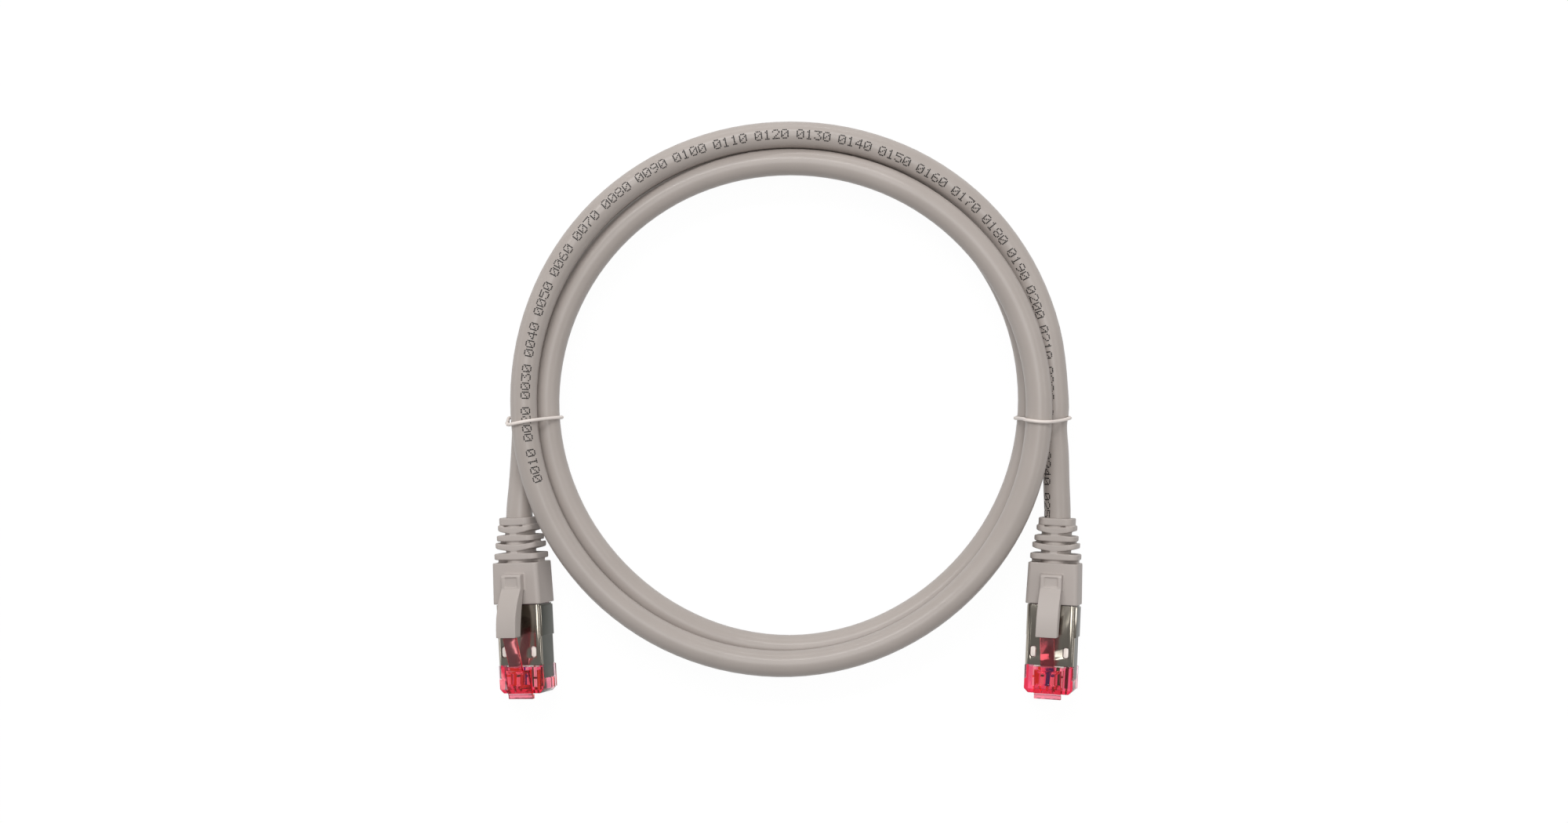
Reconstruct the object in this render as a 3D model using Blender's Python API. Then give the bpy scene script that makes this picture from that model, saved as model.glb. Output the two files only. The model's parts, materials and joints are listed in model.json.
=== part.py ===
# A shielded ethernet patch cable, coiled for storage: one jacketed cable of two and a half
# turns, held by two thin bands, with a moulded boot and an eight-way plug on each end.
# The table is the plane z = 0. The origin lies midway between the two plugs.

import math

import bmesh
import bpy
from mathutils import Matrix, Vector

mm = 0.001

# Cable section
CABLE_OD = 6.2 * mm
JACKET_WALL = 0.55 * mm
BRAID_GAP = 0.10 * mm  # between the jacket's bore and the braid
BRAID_WALL = 0.18 * mm
PAIR_RADIUS = 0.78 * mm  # a foil-wrapped pair
PAIR_GAP = 0.05 * mm  # between neighbouring pairs
PAIR_TWIST = math.radians(180)  # the four pairs turn this much between the plugs
WIRE_RADIUS = 0.38 * mm
WIRE_GAP = 0.02 * mm  # between the two wires of a pair
WIRE_COLOURS = ("orange", "blue", "brown", "green")  # the pairs, a quarter turn apart
WIRE_ORDER = ("orange", "orange", "green", "blue", "blue", "green", "brown", "brown")

# Coil: its angles run clockwise from +Y, as seen from above
COIL_CENTRE = (0.46 * mm, 49.44 * mm)
COIL_RADIUS = 60.0 * mm
COIL_START = -90  # degrees, at the left, where the first tail joins
COIL_END = 810  # degrees, at the right, where the second tail leaves
LOOP_POINTS = 24
TURN_GAP = 0.46 * mm  # room between turns that lie together
# How the turns lie, every LAY_STEP degrees, in cable pitches off COIL_RADIUS and the table
LAY_STEP = 45
LAY_ACROSS = (0.51, 0.20, -0.05, -0.27, -0.37, -0.27, -0.07, -0.21) + (
    (-0.31, -0.45, -0.58, -0.45, -0.21, 0.09, 0.40, 0.52)
    + (0.42, 0.44, 0.44, 0.49, 0.49)
)
LAY_UP = (0.15, 0.03, 0.00, 0.04, 0.15, 0.03, 0.00, 0.40) + (
    (0.77, 0.83, 0.90, 1.16, 1.40, 1.02, 0.92, 1.15)
    + (1.49, 1.36, 0.92, 0.72, 0.66)
)

# Tails between the boots and the coil: their free points, laid by hand
TAIL_A = (
    (-63.74 * mm, 29.4 * mm, 5.1 * mm),
    (-63.34 * mm, 36.5 * mm, 4.4 * mm),
    (-63.04 * mm, 43.2 * mm, 4.1 * mm),
)
TAIL_B = (
    (63.76 * mm, 43.0 * mm, 7.2 * mm),
    (63.86 * mm, 36.4 * mm, 6.5 * mm),
    (63.86 * mm, 29.5 * mm, 5.8 * mm),
)

# Bands round the coil
BAND_THICKNESS = 0.7 * mm
BAND_CLEARANCE = 0.25 * mm
BAND_POINTS = 24
BANDS = {
    "tie_band_left": {"angle": 265, "skew": 1.1 * mm, "lean": 0.9 * mm, "sag": 0.0},
    "tie_band_right": {"angle": 94, "skew": 0.0, "lean": 0.0, "sag": 0.9 * mm},
}

# Where each plug lies: its nose on the table, its turn about z and its roll, in degrees
PLUGS = {
    "a": {"nose": (-61.94 * mm, -20.26 * mm), "turn": 2.9, "roll": 22.0},
    "b": {"nose": (62.36 * mm, -20.46 * mm), "turn": -2.45, "roll": 15.0},
}

# Plug housing. A plug's own frame has x across, y from the nose towards the cable and
# z up through the latch; z = 0 is the cable's axis.
PLUG_WIDTH = 11.68 * mm
NOSE_HEIGHT = 6.6 * mm
NOSE_LENGTH = 6.6 * mm
NOSE_CHAMFER = 1.0 * mm
BODY_LENGTH = 14.45 * mm
NECK_LENGTH = 3.0 * mm
NECK_WIDTH = 10.6 * mm
NECK_HEIGHT = 6.2 * mm
CAVITY_WALL = 0.5 * mm
CAVITY_HEIGHT = 5.1 * mm
END_ROOM = 0.3 * mm  # between pieces that meet end to end

# Shield shell
SHELL_HEIGHT = 7.4 * mm
SHELL_WALL = 0.3 * mm
SHELL_CLEARANCE = 0.15 * mm
SHELL_CORNER = 0.8 * mm
TAB_LENGTH = 3.1 * mm  # side tabs that run along the nose
TAB_HEIGHT = 4.9 * mm
PANEL_LENGTH = 7.2 * mm  # raised panels on the sides
PANEL_HEIGHT = 6.0 * mm
PANEL_RISE = 0.28 * mm
WINDOW_SPACING = 7.86 * mm
WINDOW_WIDTH = 1.5 * mm
WINDOW_LENGTH = 2.7 * mm
WINDOW_CENTRE = 9.9 * mm  # from the nose
BOSS_CLEARANCE = 0.15 * mm

# Contacts, wires and load bar
CONTACT_COUNT = 8
CONTACT_PITCH = 1.02 * mm
CONTACT_WIDTH = 0.3 * mm
CONTACT_LENGTH = 4.9 * mm
CONTACT_INSET = 0.35 * mm  # from the nose's front and underside
CONTACT_CHAMFER = 0.45 * mm
CONTACT_SHELF = 1.3 * mm  # height of the slot where it opens to the front
CONTACT_CLEARANCE = 0.1 * mm
ROW_HEIGHT = -0.35 * mm  # midway between the two staggered rows of wires
ROW_STAGGER = 1.1 * mm
WIRE_END = 1.6 * mm  # from the nose
WIRE_CLEARANCE = 0.1 * mm
BAR_START = 6.5 * mm
BAR_LENGTH = 5.2 * mm
BAR_CLEARANCE = 0.15 * mm
ROWS_ROOM = 0.2 * mm  # the wires part into their two rows this far behind the load bar
FAN_LENGTH = 3.7 * mm  # along which the wires spread to their contacts' places
FAN_LEAD = 0.9 * mm  # they run straight this far out of the pairs
FAN_STEPS = 3
PAIR_REACH = 2.9 * mm  # the pairs stand out of the braid
BRAID_REACH = 1.65 * mm  # the braid stands out of the jacket
JACKET_GAP = 0.4 * mm  # behind the neck

# Crimp collar
COLLAR_LENGTH = 4.4 * mm
COLLAR_WALL = 0.4 * mm
COLLAR_CLEARANCE = 0.12 * mm

# Latch
LATCH_WIDTH = 6.4 * mm
LEVER_WIDTH = 3.3 * mm
LATCH_THICKNESS = 0.95 * mm
LATCH_ROOM = 0.15 * mm  # over the nose at the hinge
LATCH_LIP = 1.25 * mm  # stands out in front of the nose
LIP_DROP = 1.5 * mm
LIP_ROOM = 0.2 * mm
LIP_RISE = 0.65 * mm
HEAD_LENGTH = 6.3 * mm
HEAD_RISE = 2.15 * mm  # top of the head's rear edge, over the nose
LEVER_STEP = 0.45 * mm  # the lever's root over the head
ROOT_INSET = 0.1 * mm  # the lever's root inside the head
BEND_LEAD = 0.6 * mm  # the lever flattens this far ahead of the tongue
BEND_RISE = 4.9 * mm
LEVER_LAP = 2.0 * mm  # under the tongue
LEVER_END_RISE = 5.35 * mm

# Boot
BOOT_GAP = 0.2 * mm  # behind the shell
BOOT_LENGTH = 9.8 * mm
BOOT_FRONT_WIDTH = 12.55 * mm
BOOT_FRONT_HEIGHT = 8.3 * mm
BOOT_REAR_WIDTH = 12.0 * mm
BOOT_REAR_HEIGHT = 8.2 * mm
BOOT_CORNER = 1.0 * mm
BOOT_ROOM = 0.15 * mm  # round the neck, the collar and the cable
RIB_COUNT = 5
RIB_FIRST_WIDTH = 11.6 * mm
RIB_LAST_WIDTH = 8.3 * mm
RIB_FIRST_HEIGHT = 8.1 * mm
RIB_LAST_HEIGHT = 7.7 * mm
RIB_CORNER = 1.8 * mm
RIB_THICKNESS = 1.4 * mm
RIB_PITCH = 2.17 * mm
CORE_WALL = 0.35 * mm
WEB_WIDTH = 1.8 * mm
WEB_DEPTH = 0.9 * mm
WEB_INSET = 0.08 * mm
SIDE_WEB_HEIGHT = 4.8 * mm

# Tongue over the latch, and the block on the boot that carries it
TONGUE_WIDTH = 5.1 * mm
TONGUE_SKIN = 0.8 * mm
TONGUE_LENGTH = 11.1 * mm  # ahead of its hinge
TONGUE_TOP = 9.9 * mm  # over the cable's axis
TONGUE_DEPTH = 2.8 * mm
TONGUE_ROOM = 0.35 * mm  # over the boot
TONGUE_CURL = 2.3  # how late the top turns down towards the block
ROOT_CURL = 1.4
TONGUE_STEPS = 6
TONGUE_SLIT = 0.3 * mm
HINGE_INSET = 3.65 * mm  # from the boot's front
HINGE_RISE = 4.9 * mm
CHANNEL_CLEARANCE = 0.3 * mm
CHANNEL_LENGTH = 4.8 * mm
BLOCK_LENGTH = 3.4 * mm
BLOCK_RISE = 1.95 * mm  # over the boot
BLOCK_ROUND = 0.8 * mm
RECESS_WIDTH = 3.2 * mm
RECESS_LENGTH = 2.1 * mm
RECESS_DEPTH = 0.3 * mm

CABLE_RADIUS = CABLE_OD / 2
CABLE_PITCH = CABLE_OD + TURN_GAP
BORE_RADIUS = CABLE_RADIUS - JACKET_WALL
BRAID_RADIUS = BORE_RADIUS - BRAID_GAP
PAIR_OFFSET = (2 * PAIR_RADIUS + PAIR_GAP) / math.sqrt(2)
BODY_WIDTH = PLUG_WIDTH - 2 * (SHELL_WALL + SHELL_CLEARANCE)
BODY_HEIGHT = SHELL_HEIGHT - 2 * (SHELL_WALL + SHELL_CLEARANCE)
BODY_END = NOSE_LENGTH + BODY_LENGTH
NECK_END = BODY_END + NECK_LENGTH
CAVITY_WIDTH = BODY_WIDTH - 2 * CAVITY_WALL
JACKET_END = NECK_END + JACKET_GAP
BRAID_END = JACKET_END - BRAID_REACH
PAIR_END = BRAID_END - PAIR_REACH
FAN_START = PAIR_END - FAN_LEAD
FAN_END = FAN_START - FAN_LENGTH
ROWS_END = BAR_START + BAR_LENGTH + ROWS_ROOM
COLLAR_START = JACKET_END + END_ROOM
COLLAR_BORE = CABLE_RADIUS + COLLAR_CLEARANCE
COLLAR_RADIUS = COLLAR_BORE + COLLAR_WALL
BOOT_START = BODY_END + BOOT_GAP
BOOT_END = BOOT_START + BOOT_LENGTH
BOOT_BORE = CABLE_RADIUS + BOOT_ROOM
BOOT_TOP = BOOT_FRONT_HEIGHT / 2
RIBS_END = BOOT_END + RIB_PITCH * RIB_COUNT
HINGE_PLACE = BOOT_START + HINGE_INSET
TONGUE_TIP = HINGE_PLACE - TONGUE_LENGTH
CHANNEL_END = TONGUE_TIP + CHANNEL_LENGTH
BEND_PLACE = TONGUE_TIP - BEND_LEAD
LEVER_END = TONGUE_TIP + LEVER_LAP
BLOCK_START = HINGE_PLACE + TONGUE_SLIT / 2
NOSE_TOP = NOSE_HEIGHT / 2
CONTACT_RISE = CONTACT_INSET + CONTACT_CHAMFER + 2 * CONTACT_CLEARANCE  # from the nose
BEYOND = 1.0 * mm  # how far a cutter runs past what it cuts
SINK = 0.3 * mm  # how deep a fused piece reaches into its neighbour
MERGE = 0.001 * mm  # points nearer than this are one
ROUND_STEPS = 3  # in a rounded corner
SPANS = 4  # samples between two points of the route, where its gaps are measured
OWN_REACH = 5 * CABLE_OD  # nearer along the cable than this, it isn't another turn


def paint(name, colour, roughness, metallic=0.0, alpha=1.0):
    made = bpy.data.materials.new(name)
    made.use_nodes = True
    shader = made.node_tree.nodes["Principled BSDF"]
    shader.inputs["Base Color"].default_value = (*colour, 1.0)
    shader.inputs["Roughness"].default_value = roughness
    shader.inputs["Metallic"].default_value = metallic
    shader.inputs["Alpha"].default_value = alpha
    made.diffuse_color = (*colour, alpha)
    return made


# Placing, cutting and fusing


def place(name, mesh, material, frame=None, at=(0, 0, 0)):
    """A sub-part, or a guide when it has no material."""
    made = bpy.data.objects.new(name, mesh)
    made.parent = frame
    made.location = at
    bpy.context.collection.objects.link(made)
    if material is None:
        made.hide_render = True
        made.display_type = "WIRE"
    else:
        mesh.materials.append(material)
    return made


def combine(target, guide, operation):
    modifier = target.modifiers.new(guide.name, "BOOLEAN")
    modifier.operation = operation
    modifier.object = guide


def solid(name, bm, at=(0, 0, 0)):
    """The finished mesh of bm, outward and smooth, measured from the point at."""
    bmesh.ops.translate(bm, verts=bm.verts, vec=-Vector(at))
    bmesh.ops.recalc_face_normals(bm, faces=bm.faces)
    mesh = bpy.data.meshes.new(name)
    bm.to_mesh(mesh)
    bm.free()
    mesh.shade_smooth()
    mesh.set_sharp_from_angle(angle=math.radians(35))
    return mesh


def fuse(target, name, bm, frame, at=(0, 0, 0)):
    guide = place(f"{target.name}_{name}", solid(name, bm, at), None, frame, at)
    combine(target, guide, "UNION")


def cut(target, name, bm, frame, at=(0, 0, 0)):
    guide = place(f"{target.name}_{name}", solid(name, bm, at), None, frame, at)
    combine(target, guide, "DIFFERENCE")


# Shapes


def about(middle, size):
    """The low and high ends of a size centred on the middle."""
    return (middle - size / 2, middle + size / 2)


def add_box(bm, x, y, z):
    """A box between the low and high ends given for each axis."""
    middle = [(low + high) / 2 for low, high in (x, y, z)]
    size = [abs(high - low) for low, high in (x, y, z)]
    matrix = Matrix.Translation(middle) @ Matrix.Diagonal((*size, 1))
    bmesh.ops.create_cube(bm, size=1, matrix=matrix)


def add_loft(bm, sections):
    """A closed solid through sections of equally many points, capped at both ends."""
    rings = [[bm.verts.new(point) for point in section] for section in sections]
    for near, far in zip(rings, rings[1:]):
        for i in range(len(near)):
            j = (i + 1) % len(near)
            bm.faces.new((near[i], near[j], far[j], far[i]))
    bm.faces.new(rings[0])
    bm.faces.new(rings[-1])


def add_profile(bm, outline, x):
    """A side outline of (y, z) points, extruded from x[0] to x[1]."""
    add_loft(bm, [[(side, *point) for point in outline] for side in x])


def rounded(width, height, corner, y):
    """A rounded rectangle across the plug, at y."""
    points = []
    for quarter in range(4):
        across = (width / 2 - corner) * (1 if quarter in (0, 3) else -1)
        up = (height / 2 - corner) * (1 if quarter in (0, 1) else -1)
        for step in range(ROUND_STEPS + 1):
            angle = math.radians(90 * (quarter + step / ROUND_STEPS))
            x = across + corner * math.cos(angle)
            points.append((x, y, up + corner * math.sin(angle)))
    return points


def add_rod(bm, clear_radius, y, sides=16, x=0.0, z=0.0):
    """A round bar along y whose flats lie at the clear radius."""
    radius = clear_radius / math.cos(math.pi / sides)
    turns = [math.tau * (i + 0.5) / sides for i in range(sides)]
    ring = [(x + radius * math.cos(a), z + radius * math.sin(a)) for a in turns]
    add_loft(bm, [[(u, end, v) for u, v in ring] for end in y])


def tube_mesh(name, points, radius, closed=False):
    """A six-sided tube along the points, with filled ends unless it is closed."""
    curve = bpy.data.curves.new(name, "CURVE")
    curve.dimensions = "3D"
    curve.twist_mode = "Z_UP"
    curve.bevel_depth = radius
    curve.bevel_resolution = 1
    curve.use_fill_caps = True
    line = curve.splines.new("POLY")
    line.points.add(len(points) - 1)
    for knot, point in zip(line.points, points):
        knot.co = (*point, 1.0)
    line.use_cyclic_u = closed
    guide = bpy.data.objects.new(name, curve)
    bpy.context.collection.objects.link(guide)
    bpy.context.view_layer.update()
    evaluated = guide.evaluated_get(bpy.context.evaluated_depsgraph_get())
    mesh = bpy.data.meshes.new_from_object(evaluated)
    bpy.data.objects.remove(guide)
    bpy.data.curves.remove(curve)
    bm = bmesh.new()
    bm.from_mesh(mesh)
    bpy.data.meshes.remove(mesh)
    bmesh.ops.remove_doubles(bm, verts=bm.verts, dist=MERGE)
    return solid(name, bm)


# The cable's route


def plug_matrix(plug):
    """Turns and rolls the plug, with its boot's lowest corner on the table."""
    roll = math.radians(plug["roll"])
    across = BOOT_FRONT_WIDTH / 2 - BOOT_CORNER
    up = BOOT_FRONT_HEIGHT / 2 - BOOT_CORNER
    height = across * math.sin(roll) + up * math.cos(roll) + BOOT_CORNER
    turned = Matrix.Rotation(math.radians(plug["turn"]), 4, "Z")
    rolled = Matrix.Rotation(-roll, 4, "Y")
    return Matrix.Translation((*plug["nose"], height)) @ turned @ rolled


def between(values, station):
    """The value at a station along a smooth curve through evenly spaced values."""
    last = len(values) - 1
    i = min(int(station), last - 1)
    t = station - i
    before, here, there, after = (
        values[min(max(k, 0), last)] for k in range(i - 1, i + 3)
    )
    bend = 2 * before - 5 * here + 4 * there - after
    cubic = 3 * here - before - 3 * there + after
    return here + 0.5 * t * (there - before + t * (bend + t * cubic))


def coil_point(degrees):
    station = (degrees - COIL_START) / LAY_STEP
    radius = COIL_RADIUS + CABLE_PITCH * between(LAY_ACROSS, station)
    height = CABLE_RADIUS + CABLE_PITCH * between(LAY_UP, station)
    angle = math.radians(degrees)
    x = COIL_CENTRE[0] + radius * math.sin(angle)
    y = COIL_CENTRE[1] + radius * math.cos(angle)
    return Vector((x, y, height))


def cable_route(end):
    """The cable's centreline, from a depth inside one plug to the same in the other."""
    into, out = (plug_matrix(PLUGS[key]) for key in "ab")
    depths = (end, RIBS_END)
    steps = round((COIL_END - COIL_START) * LOOP_POINTS / 360)
    route = [into @ Vector((0, y, 0)) for y in depths]
    route += [Vector(point) for point in TAIL_A]
    route += [coil_point(COIL_START + 360 / LOOP_POINTS * i) for i in range(steps + 1)]
    route += [Vector(point) for point in TAIL_B]
    route += [out @ Vector((0, y, 0)) for y in reversed(depths)]
    return route


def run_along(points):
    """The distance from the line's start to each of its points."""
    run = [0.0]
    for here, there in zip(points, points[1:]):
        run.append(run[-1] + (there - here).length)
    return run


def beside(points, distance, phase):
    """The line moved off the route, turning slowly round it from end to end."""
    run = run_along(points)
    moved = []
    for i, point in enumerate(points):
        along = points[min(i + 1, len(points) - 1)] - points[max(i - 1, 0)]
        left = Vector((0, 0, 1)).cross(along).normalized()
        up = along.normalized().cross(left)
        angle = phase + PAIR_TWIST * run[i] / run[-1]
        moved.append(point + distance * (math.cos(angle) * left + math.sin(angle) * up))
    return moved


def pair_line(quarter):
    return beside(cable_route(PAIR_END), PAIR_OFFSET, math.radians(90 * quarter))


def least_gap(points):
    """The least room between the cable and itself, away from its own neighbourhood."""
    dense = []
    for here, there in zip(points, points[1:]):
        dense += [here.lerp(there, k / SPANS) for k in range(SPANS)]
    run = run_along(dense)
    gap = COIL_RADIUS
    for i, here in enumerate(dense):
        for j in range(i + 1, len(dense)):
            if run[j] - run[i] > OWN_REACH:
                gap = min(gap, (here - dense[j]).length - CABLE_OD)
    return gap


def carried_on(points):
    """The same line, run past both ends."""
    first = points[0] + (points[0] - points[1]).normalized() * BEYOND
    last = points[-1] + (points[-1] - points[-2]).normalized() * BEYOND
    return [first] + points + [last]


# The cable and its bands


def make_sleeve(name, line, radius, wall, material):
    """A tube with a bore, along the line."""
    sleeve = place(name, tube_mesh(name, line, radius), material)
    bore = tube_mesh(f"{name}_bore", carried_on(line), radius - wall)
    combine(sleeve, place(f"{name}_bore", bore, None), "DIFFERENCE")


def make_cable():
    jacket_line = cable_route(JACKET_END)
    make_sleeve("cable_jacket", jacket_line, CABLE_RADIUS, JACKET_WALL, JACKET)
    make_sleeve("braid_shield", cable_route(BRAID_END), BRAID_RADIUS, BRAID_WALL, BRAID)
    for quarter, colour in enumerate(WIRE_COLOURS):
        name = f"foil_pair_{colour}"
        place(name, tube_mesh(name, pair_line(quarter), PAIR_RADIUS), FOIL)
    print(f"cable between the boots: {run_along(cable_route(RIBS_END))[-1]:.4f} m")
    print(f"least gap between turns: {least_gap(jacket_line) / mm:.3f} mm")


def make_band(name, band):
    """A closed loop round every pass of the cable at the band's angle of the coil."""
    angle = math.radians(band["angle"])
    outward = Vector((math.sin(angle), math.cos(angle), 0))
    around = Vector((math.cos(angle), -math.sin(angle), 0))
    centre = Vector((*COIL_CENTRE, 0))
    route = [point - centre for point in cable_route(RIBS_END)]
    passes = []
    for here, there in zip(route, route[1:]):
        behind, ahead = here.dot(around), there.dot(around)
        if behind < 0 <= ahead and here.dot(outward) > 0:
            spot = here.lerp(there, behind / (behind - ahead))
            passes.append((spot.dot(outward), spot.z))
    reach = CABLE_RADIUS + BAND_CLEARANCE + BAND_THICKNESS / 2
    points = []
    for i in range(BAND_POINTS):
        turn = math.tau * (i + 0.5) / BAND_POINTS
        out, up = math.cos(turn), math.sin(turn)
        radius, height = max(passes, key=lambda p: p[0] * out + p[1] * up)
        shift = band["lean"] * (1 - out) / 2 - band["skew"] * math.sin(2 * turn)
        point = centre + outward * (radius + reach * out)
        point += around * (shift - band["sag"] * up)
        point.z = max(height + reach * up, BAND_THICKNESS / 2)
        points.append(point)
    place(name, tube_mesh(name, points, BAND_THICKNESS / 2, closed=True), BAND)


# The plug's pieces, each in the plug's own frame


def contact_place(i):
    return (i - (CONTACT_COUNT - 1) / 2) * CONTACT_PITCH


def wire_height(i):
    return ROW_HEIGHT + ROW_STAGGER / 2 * (1 if i % 2 == 0 else -1)


def make_housing(name, frame):
    half = PLUG_WIDTH / 2
    plan = [(-half + NOSE_CHAMFER, 0), (half - NOSE_CHAMFER, 0), (half, NOSE_CHAMFER)]
    plan += [(half, NOSE_LENGTH), (-half, NOSE_LENGTH), (-half, NOSE_CHAMFER)]
    bm = bmesh.new()
    add_loft(bm, [[(x, y, z) for x, y in plan] for z in about(0, NOSE_HEIGHT)])
    housing = place(name, solid(name, bm), HOUSING, frame)

    corner = SHELL_CORNER - SHELL_WALL
    body = (BODY_WIDTH, BODY_HEIGHT, corner)
    neck = (NECK_WIDTH, NECK_HEIGHT, corner)
    bm = bmesh.new()
    sections = [rounded(*body, NOSE_LENGTH - SINK), rounded(*body, BODY_END)]
    sections += [rounded(*neck, BODY_END), rounded(*neck, NECK_END)]
    add_loft(bm, sections)
    fuse(housing, "body", bm, frame)

    bm = bmesh.new()
    for side in (-1, 1):
        x = about(side * WINDOW_SPACING / 2, WINDOW_WIDTH - 2 * BOSS_CLEARANCE)
        y = about(WINDOW_CENTRE, WINDOW_LENGTH - 2 * BOSS_CLEARANCE)
        add_box(bm, x, y, (BODY_HEIGHT / 2 - SINK, SHELL_HEIGHT / 2 - BOSS_CLEARANCE))
    fuse(housing, "bosses", bm, frame)

    bm = bmesh.new()
    for side in (-1, 1):  # rebates for the shell's side tabs
        x = (side * BODY_WIDTH / 2, side * (PLUG_WIDTH / 2 + BEYOND))
        y = (NOSE_LENGTH - TAB_LENGTH - SHELL_CLEARANCE, NOSE_LENGTH + SINK)
        add_box(bm, x, y, about(0, TAB_HEIGHT + 2 * SHELL_CLEARANCE))
    cut(housing, "rebates", bm, frame)

    bm = bmesh.new()
    y = (BAR_START - END_ROOM, NECK_END + BEYOND)
    add_box(bm, about(0, CAVITY_WIDTH), y, about(0, CAVITY_HEIGHT))
    cut(housing, "throat", bm, frame)

    room = WIRE_RADIUS + WIRE_CLEARANCE
    width = (CONTACT_COUNT - 1) * CONTACT_PITCH + 2 * room
    height = ROW_STAGGER + 2 * room
    bm = bmesh.new()
    y = (CONTACT_RISE - CONTACT_CLEARANCE, BAR_START)
    add_box(bm, about(0, width), y, about(ROW_HEIGHT, height))
    cut(housing, "wire_room", bm, frame)

    below = -NOSE_TOP - BEYOND
    shelf = -NOSE_TOP + CONTACT_SHELF
    inside = ROW_HEIGHT - height / 2 + CONTACT_CLEARANCE
    front = CONTACT_RISE - CONTACT_CLEARANCE
    back = CONTACT_INSET + CONTACT_LENGTH + CONTACT_CLEARANCE
    outline = [(-BEYOND, below), (back, below), (back, inside)]
    outline += [(front, inside), (front, shelf), (-BEYOND, shelf)]
    bm = bmesh.new()
    for i in range(CONTACT_COUNT):
        add_profile(bm, outline, about(contact_place(i), CONTACT_WIDTH + 2 * CONTACT_CLEARANCE))
    cut(housing, "slots", bm, frame)


def make_contact(name, i, frame):
    low = -NOSE_TOP + CONTACT_INSET
    shelf = -NOSE_TOP + CONTACT_SHELF - CONTACT_CLEARANCE
    top = wire_height(i) - WIRE_RADIUS - WIRE_CLEARANCE / 2
    back = CONTACT_INSET + CONTACT_LENGTH
    outline = [(CONTACT_INSET + CONTACT_CHAMFER, low), (back, low), (back, top)]
    outline += [(CONTACT_RISE, top), (CONTACT_RISE, shelf), (CONTACT_INSET, shelf)]
    outline += [(CONTACT_INSET, low + CONTACT_CHAMFER)]
    bm = bmesh.new()
    add_profile(bm, outline, about(contact_place(i), CONTACT_WIDTH))
    place(name, solid(name, bm), CONTACT, frame)


def make_wire(name, i, pair_place, frame):
    """One conductor, from its pair's end through the load bar to its contact."""
    colour = WIRE_ORDER[i]
    side = 1 if colour in WIRE_ORDER[:i] else -1
    start_x = pair_place.x + side * (WIRE_RADIUS + WIRE_GAP / 2)
    start_z, end_x, end_z = pair_place.z, contact_place(i), wire_height(i)
    points = [Vector((start_x, PAIR_END - END_ROOM, start_z))]
    for k in range(FAN_STEPS + 1):
        t = k / FAN_STEPS
        y = FAN_START + (FAN_END - FAN_START) * t
        ease = t * t * (3 - 2 * t)
        points.append(Vector((start_x + (end_x - start_x) * ease, y, start_z)))
    for k in range(1, FAN_STEPS + 1):
        t = k / FAN_STEPS
        y = FAN_END + (ROWS_END - FAN_END) * t
        ease = t * t * (3 - 2 * t)
        points.append(Vector((end_x, y, start_z + (end_z - start_z) * ease)))
    points.append(Vector((end_x, WIRE_END, end_z)))
    place(name, tube_mesh(name, points, WIRE_RADIUS), WIRES[colour], frame)


def make_load_bar(name, frame):
    y = (BAR_START, BAR_START + BAR_LENGTH)
    bm = bmesh.new()
    width = CAVITY_WIDTH - 2 * BAR_CLEARANCE
    add_box(bm, about(0, width), y, about(0, CAVITY_HEIGHT - 2 * BAR_CLEARANCE))
    bar = place(name, solid(name, bm), BAR, frame)
    bm = bmesh.new()
    through = (y[0] - BEYOND, y[1] + BEYOND)
    for i in range(CONTACT_COUNT):
        clear = WIRE_RADIUS + WIRE_CLEARANCE
        add_rod(bm, clear, through, sides=8, x=contact_place(i), z=wire_height(i))
    cut(bar, "bores", bm, frame)


def make_shell(name, frame):
    front = NOSE_LENGTH - TAB_LENGTH
    bm = bmesh.new()
    outer = (PLUG_WIDTH, SHELL_HEIGHT, SHELL_CORNER)
    add_loft(bm, [rounded(*outer, y) for y in (front, BODY_END)])
    shell = place(name, solid(name, bm), SHELL, frame)

    bm = bmesh.new()
    for side in (-1, 1):
        x = (side * (PLUG_WIDTH / 2 - SHELL_WALL / 2), side * (PLUG_WIDTH / 2 + PANEL_RISE))
        y = (BODY_END - SHELL_WALL - PANEL_LENGTH, BODY_END - SHELL_WALL)
        add_box(bm, x, y, about(0, PANEL_HEIGHT))
    fuse(shell, "panels", bm, frame)

    bm = bmesh.new()
    inner = (PLUG_WIDTH - 2 * SHELL_WALL, SHELL_HEIGHT - 2 * SHELL_WALL)
    ends = (front - BEYOND, BODY_END + BEYOND)
    add_loft(bm, [rounded(*inner, SHELL_CORNER - SHELL_WALL, y) for y in ends])
    cut(shell, "inside", bm, frame)

    bm = bmesh.new()
    for side in (-1, 1):  # leaves only the side tabs ahead of the sleeve
        z = (side * TAB_HEIGHT / 2, side * SHELL_HEIGHT)
        add_box(bm, about(0, 2 * PLUG_WIDTH), (front - BEYOND, NOSE_LENGTH + SHELL_CLEARANCE), z)
        x = about(side * WINDOW_SPACING / 2, WINDOW_WIDTH)
        z = (SHELL_HEIGHT / 2 - SHELL_WALL - SINK, SHELL_HEIGHT / 2 + BEYOND)
        add_box(bm, x, about(WINDOW_CENTRE, WINDOW_LENGTH), z)
    cut(shell, "windows", bm, frame)


def make_collar(name, frame):
    y = (COLLAR_START, COLLAR_START + COLLAR_LENGTH)
    bm = bmesh.new()
    add_rod(bm, COLLAR_RADIUS, y)
    collar = place(name, solid(name, bm), COLLAR, frame)
    bm = bmesh.new()
    add_rod(bm, COLLAR_BORE, (y[0] - BEYOND, y[1] + BEYOND))
    cut(collar, "bore", bm, frame)


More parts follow.
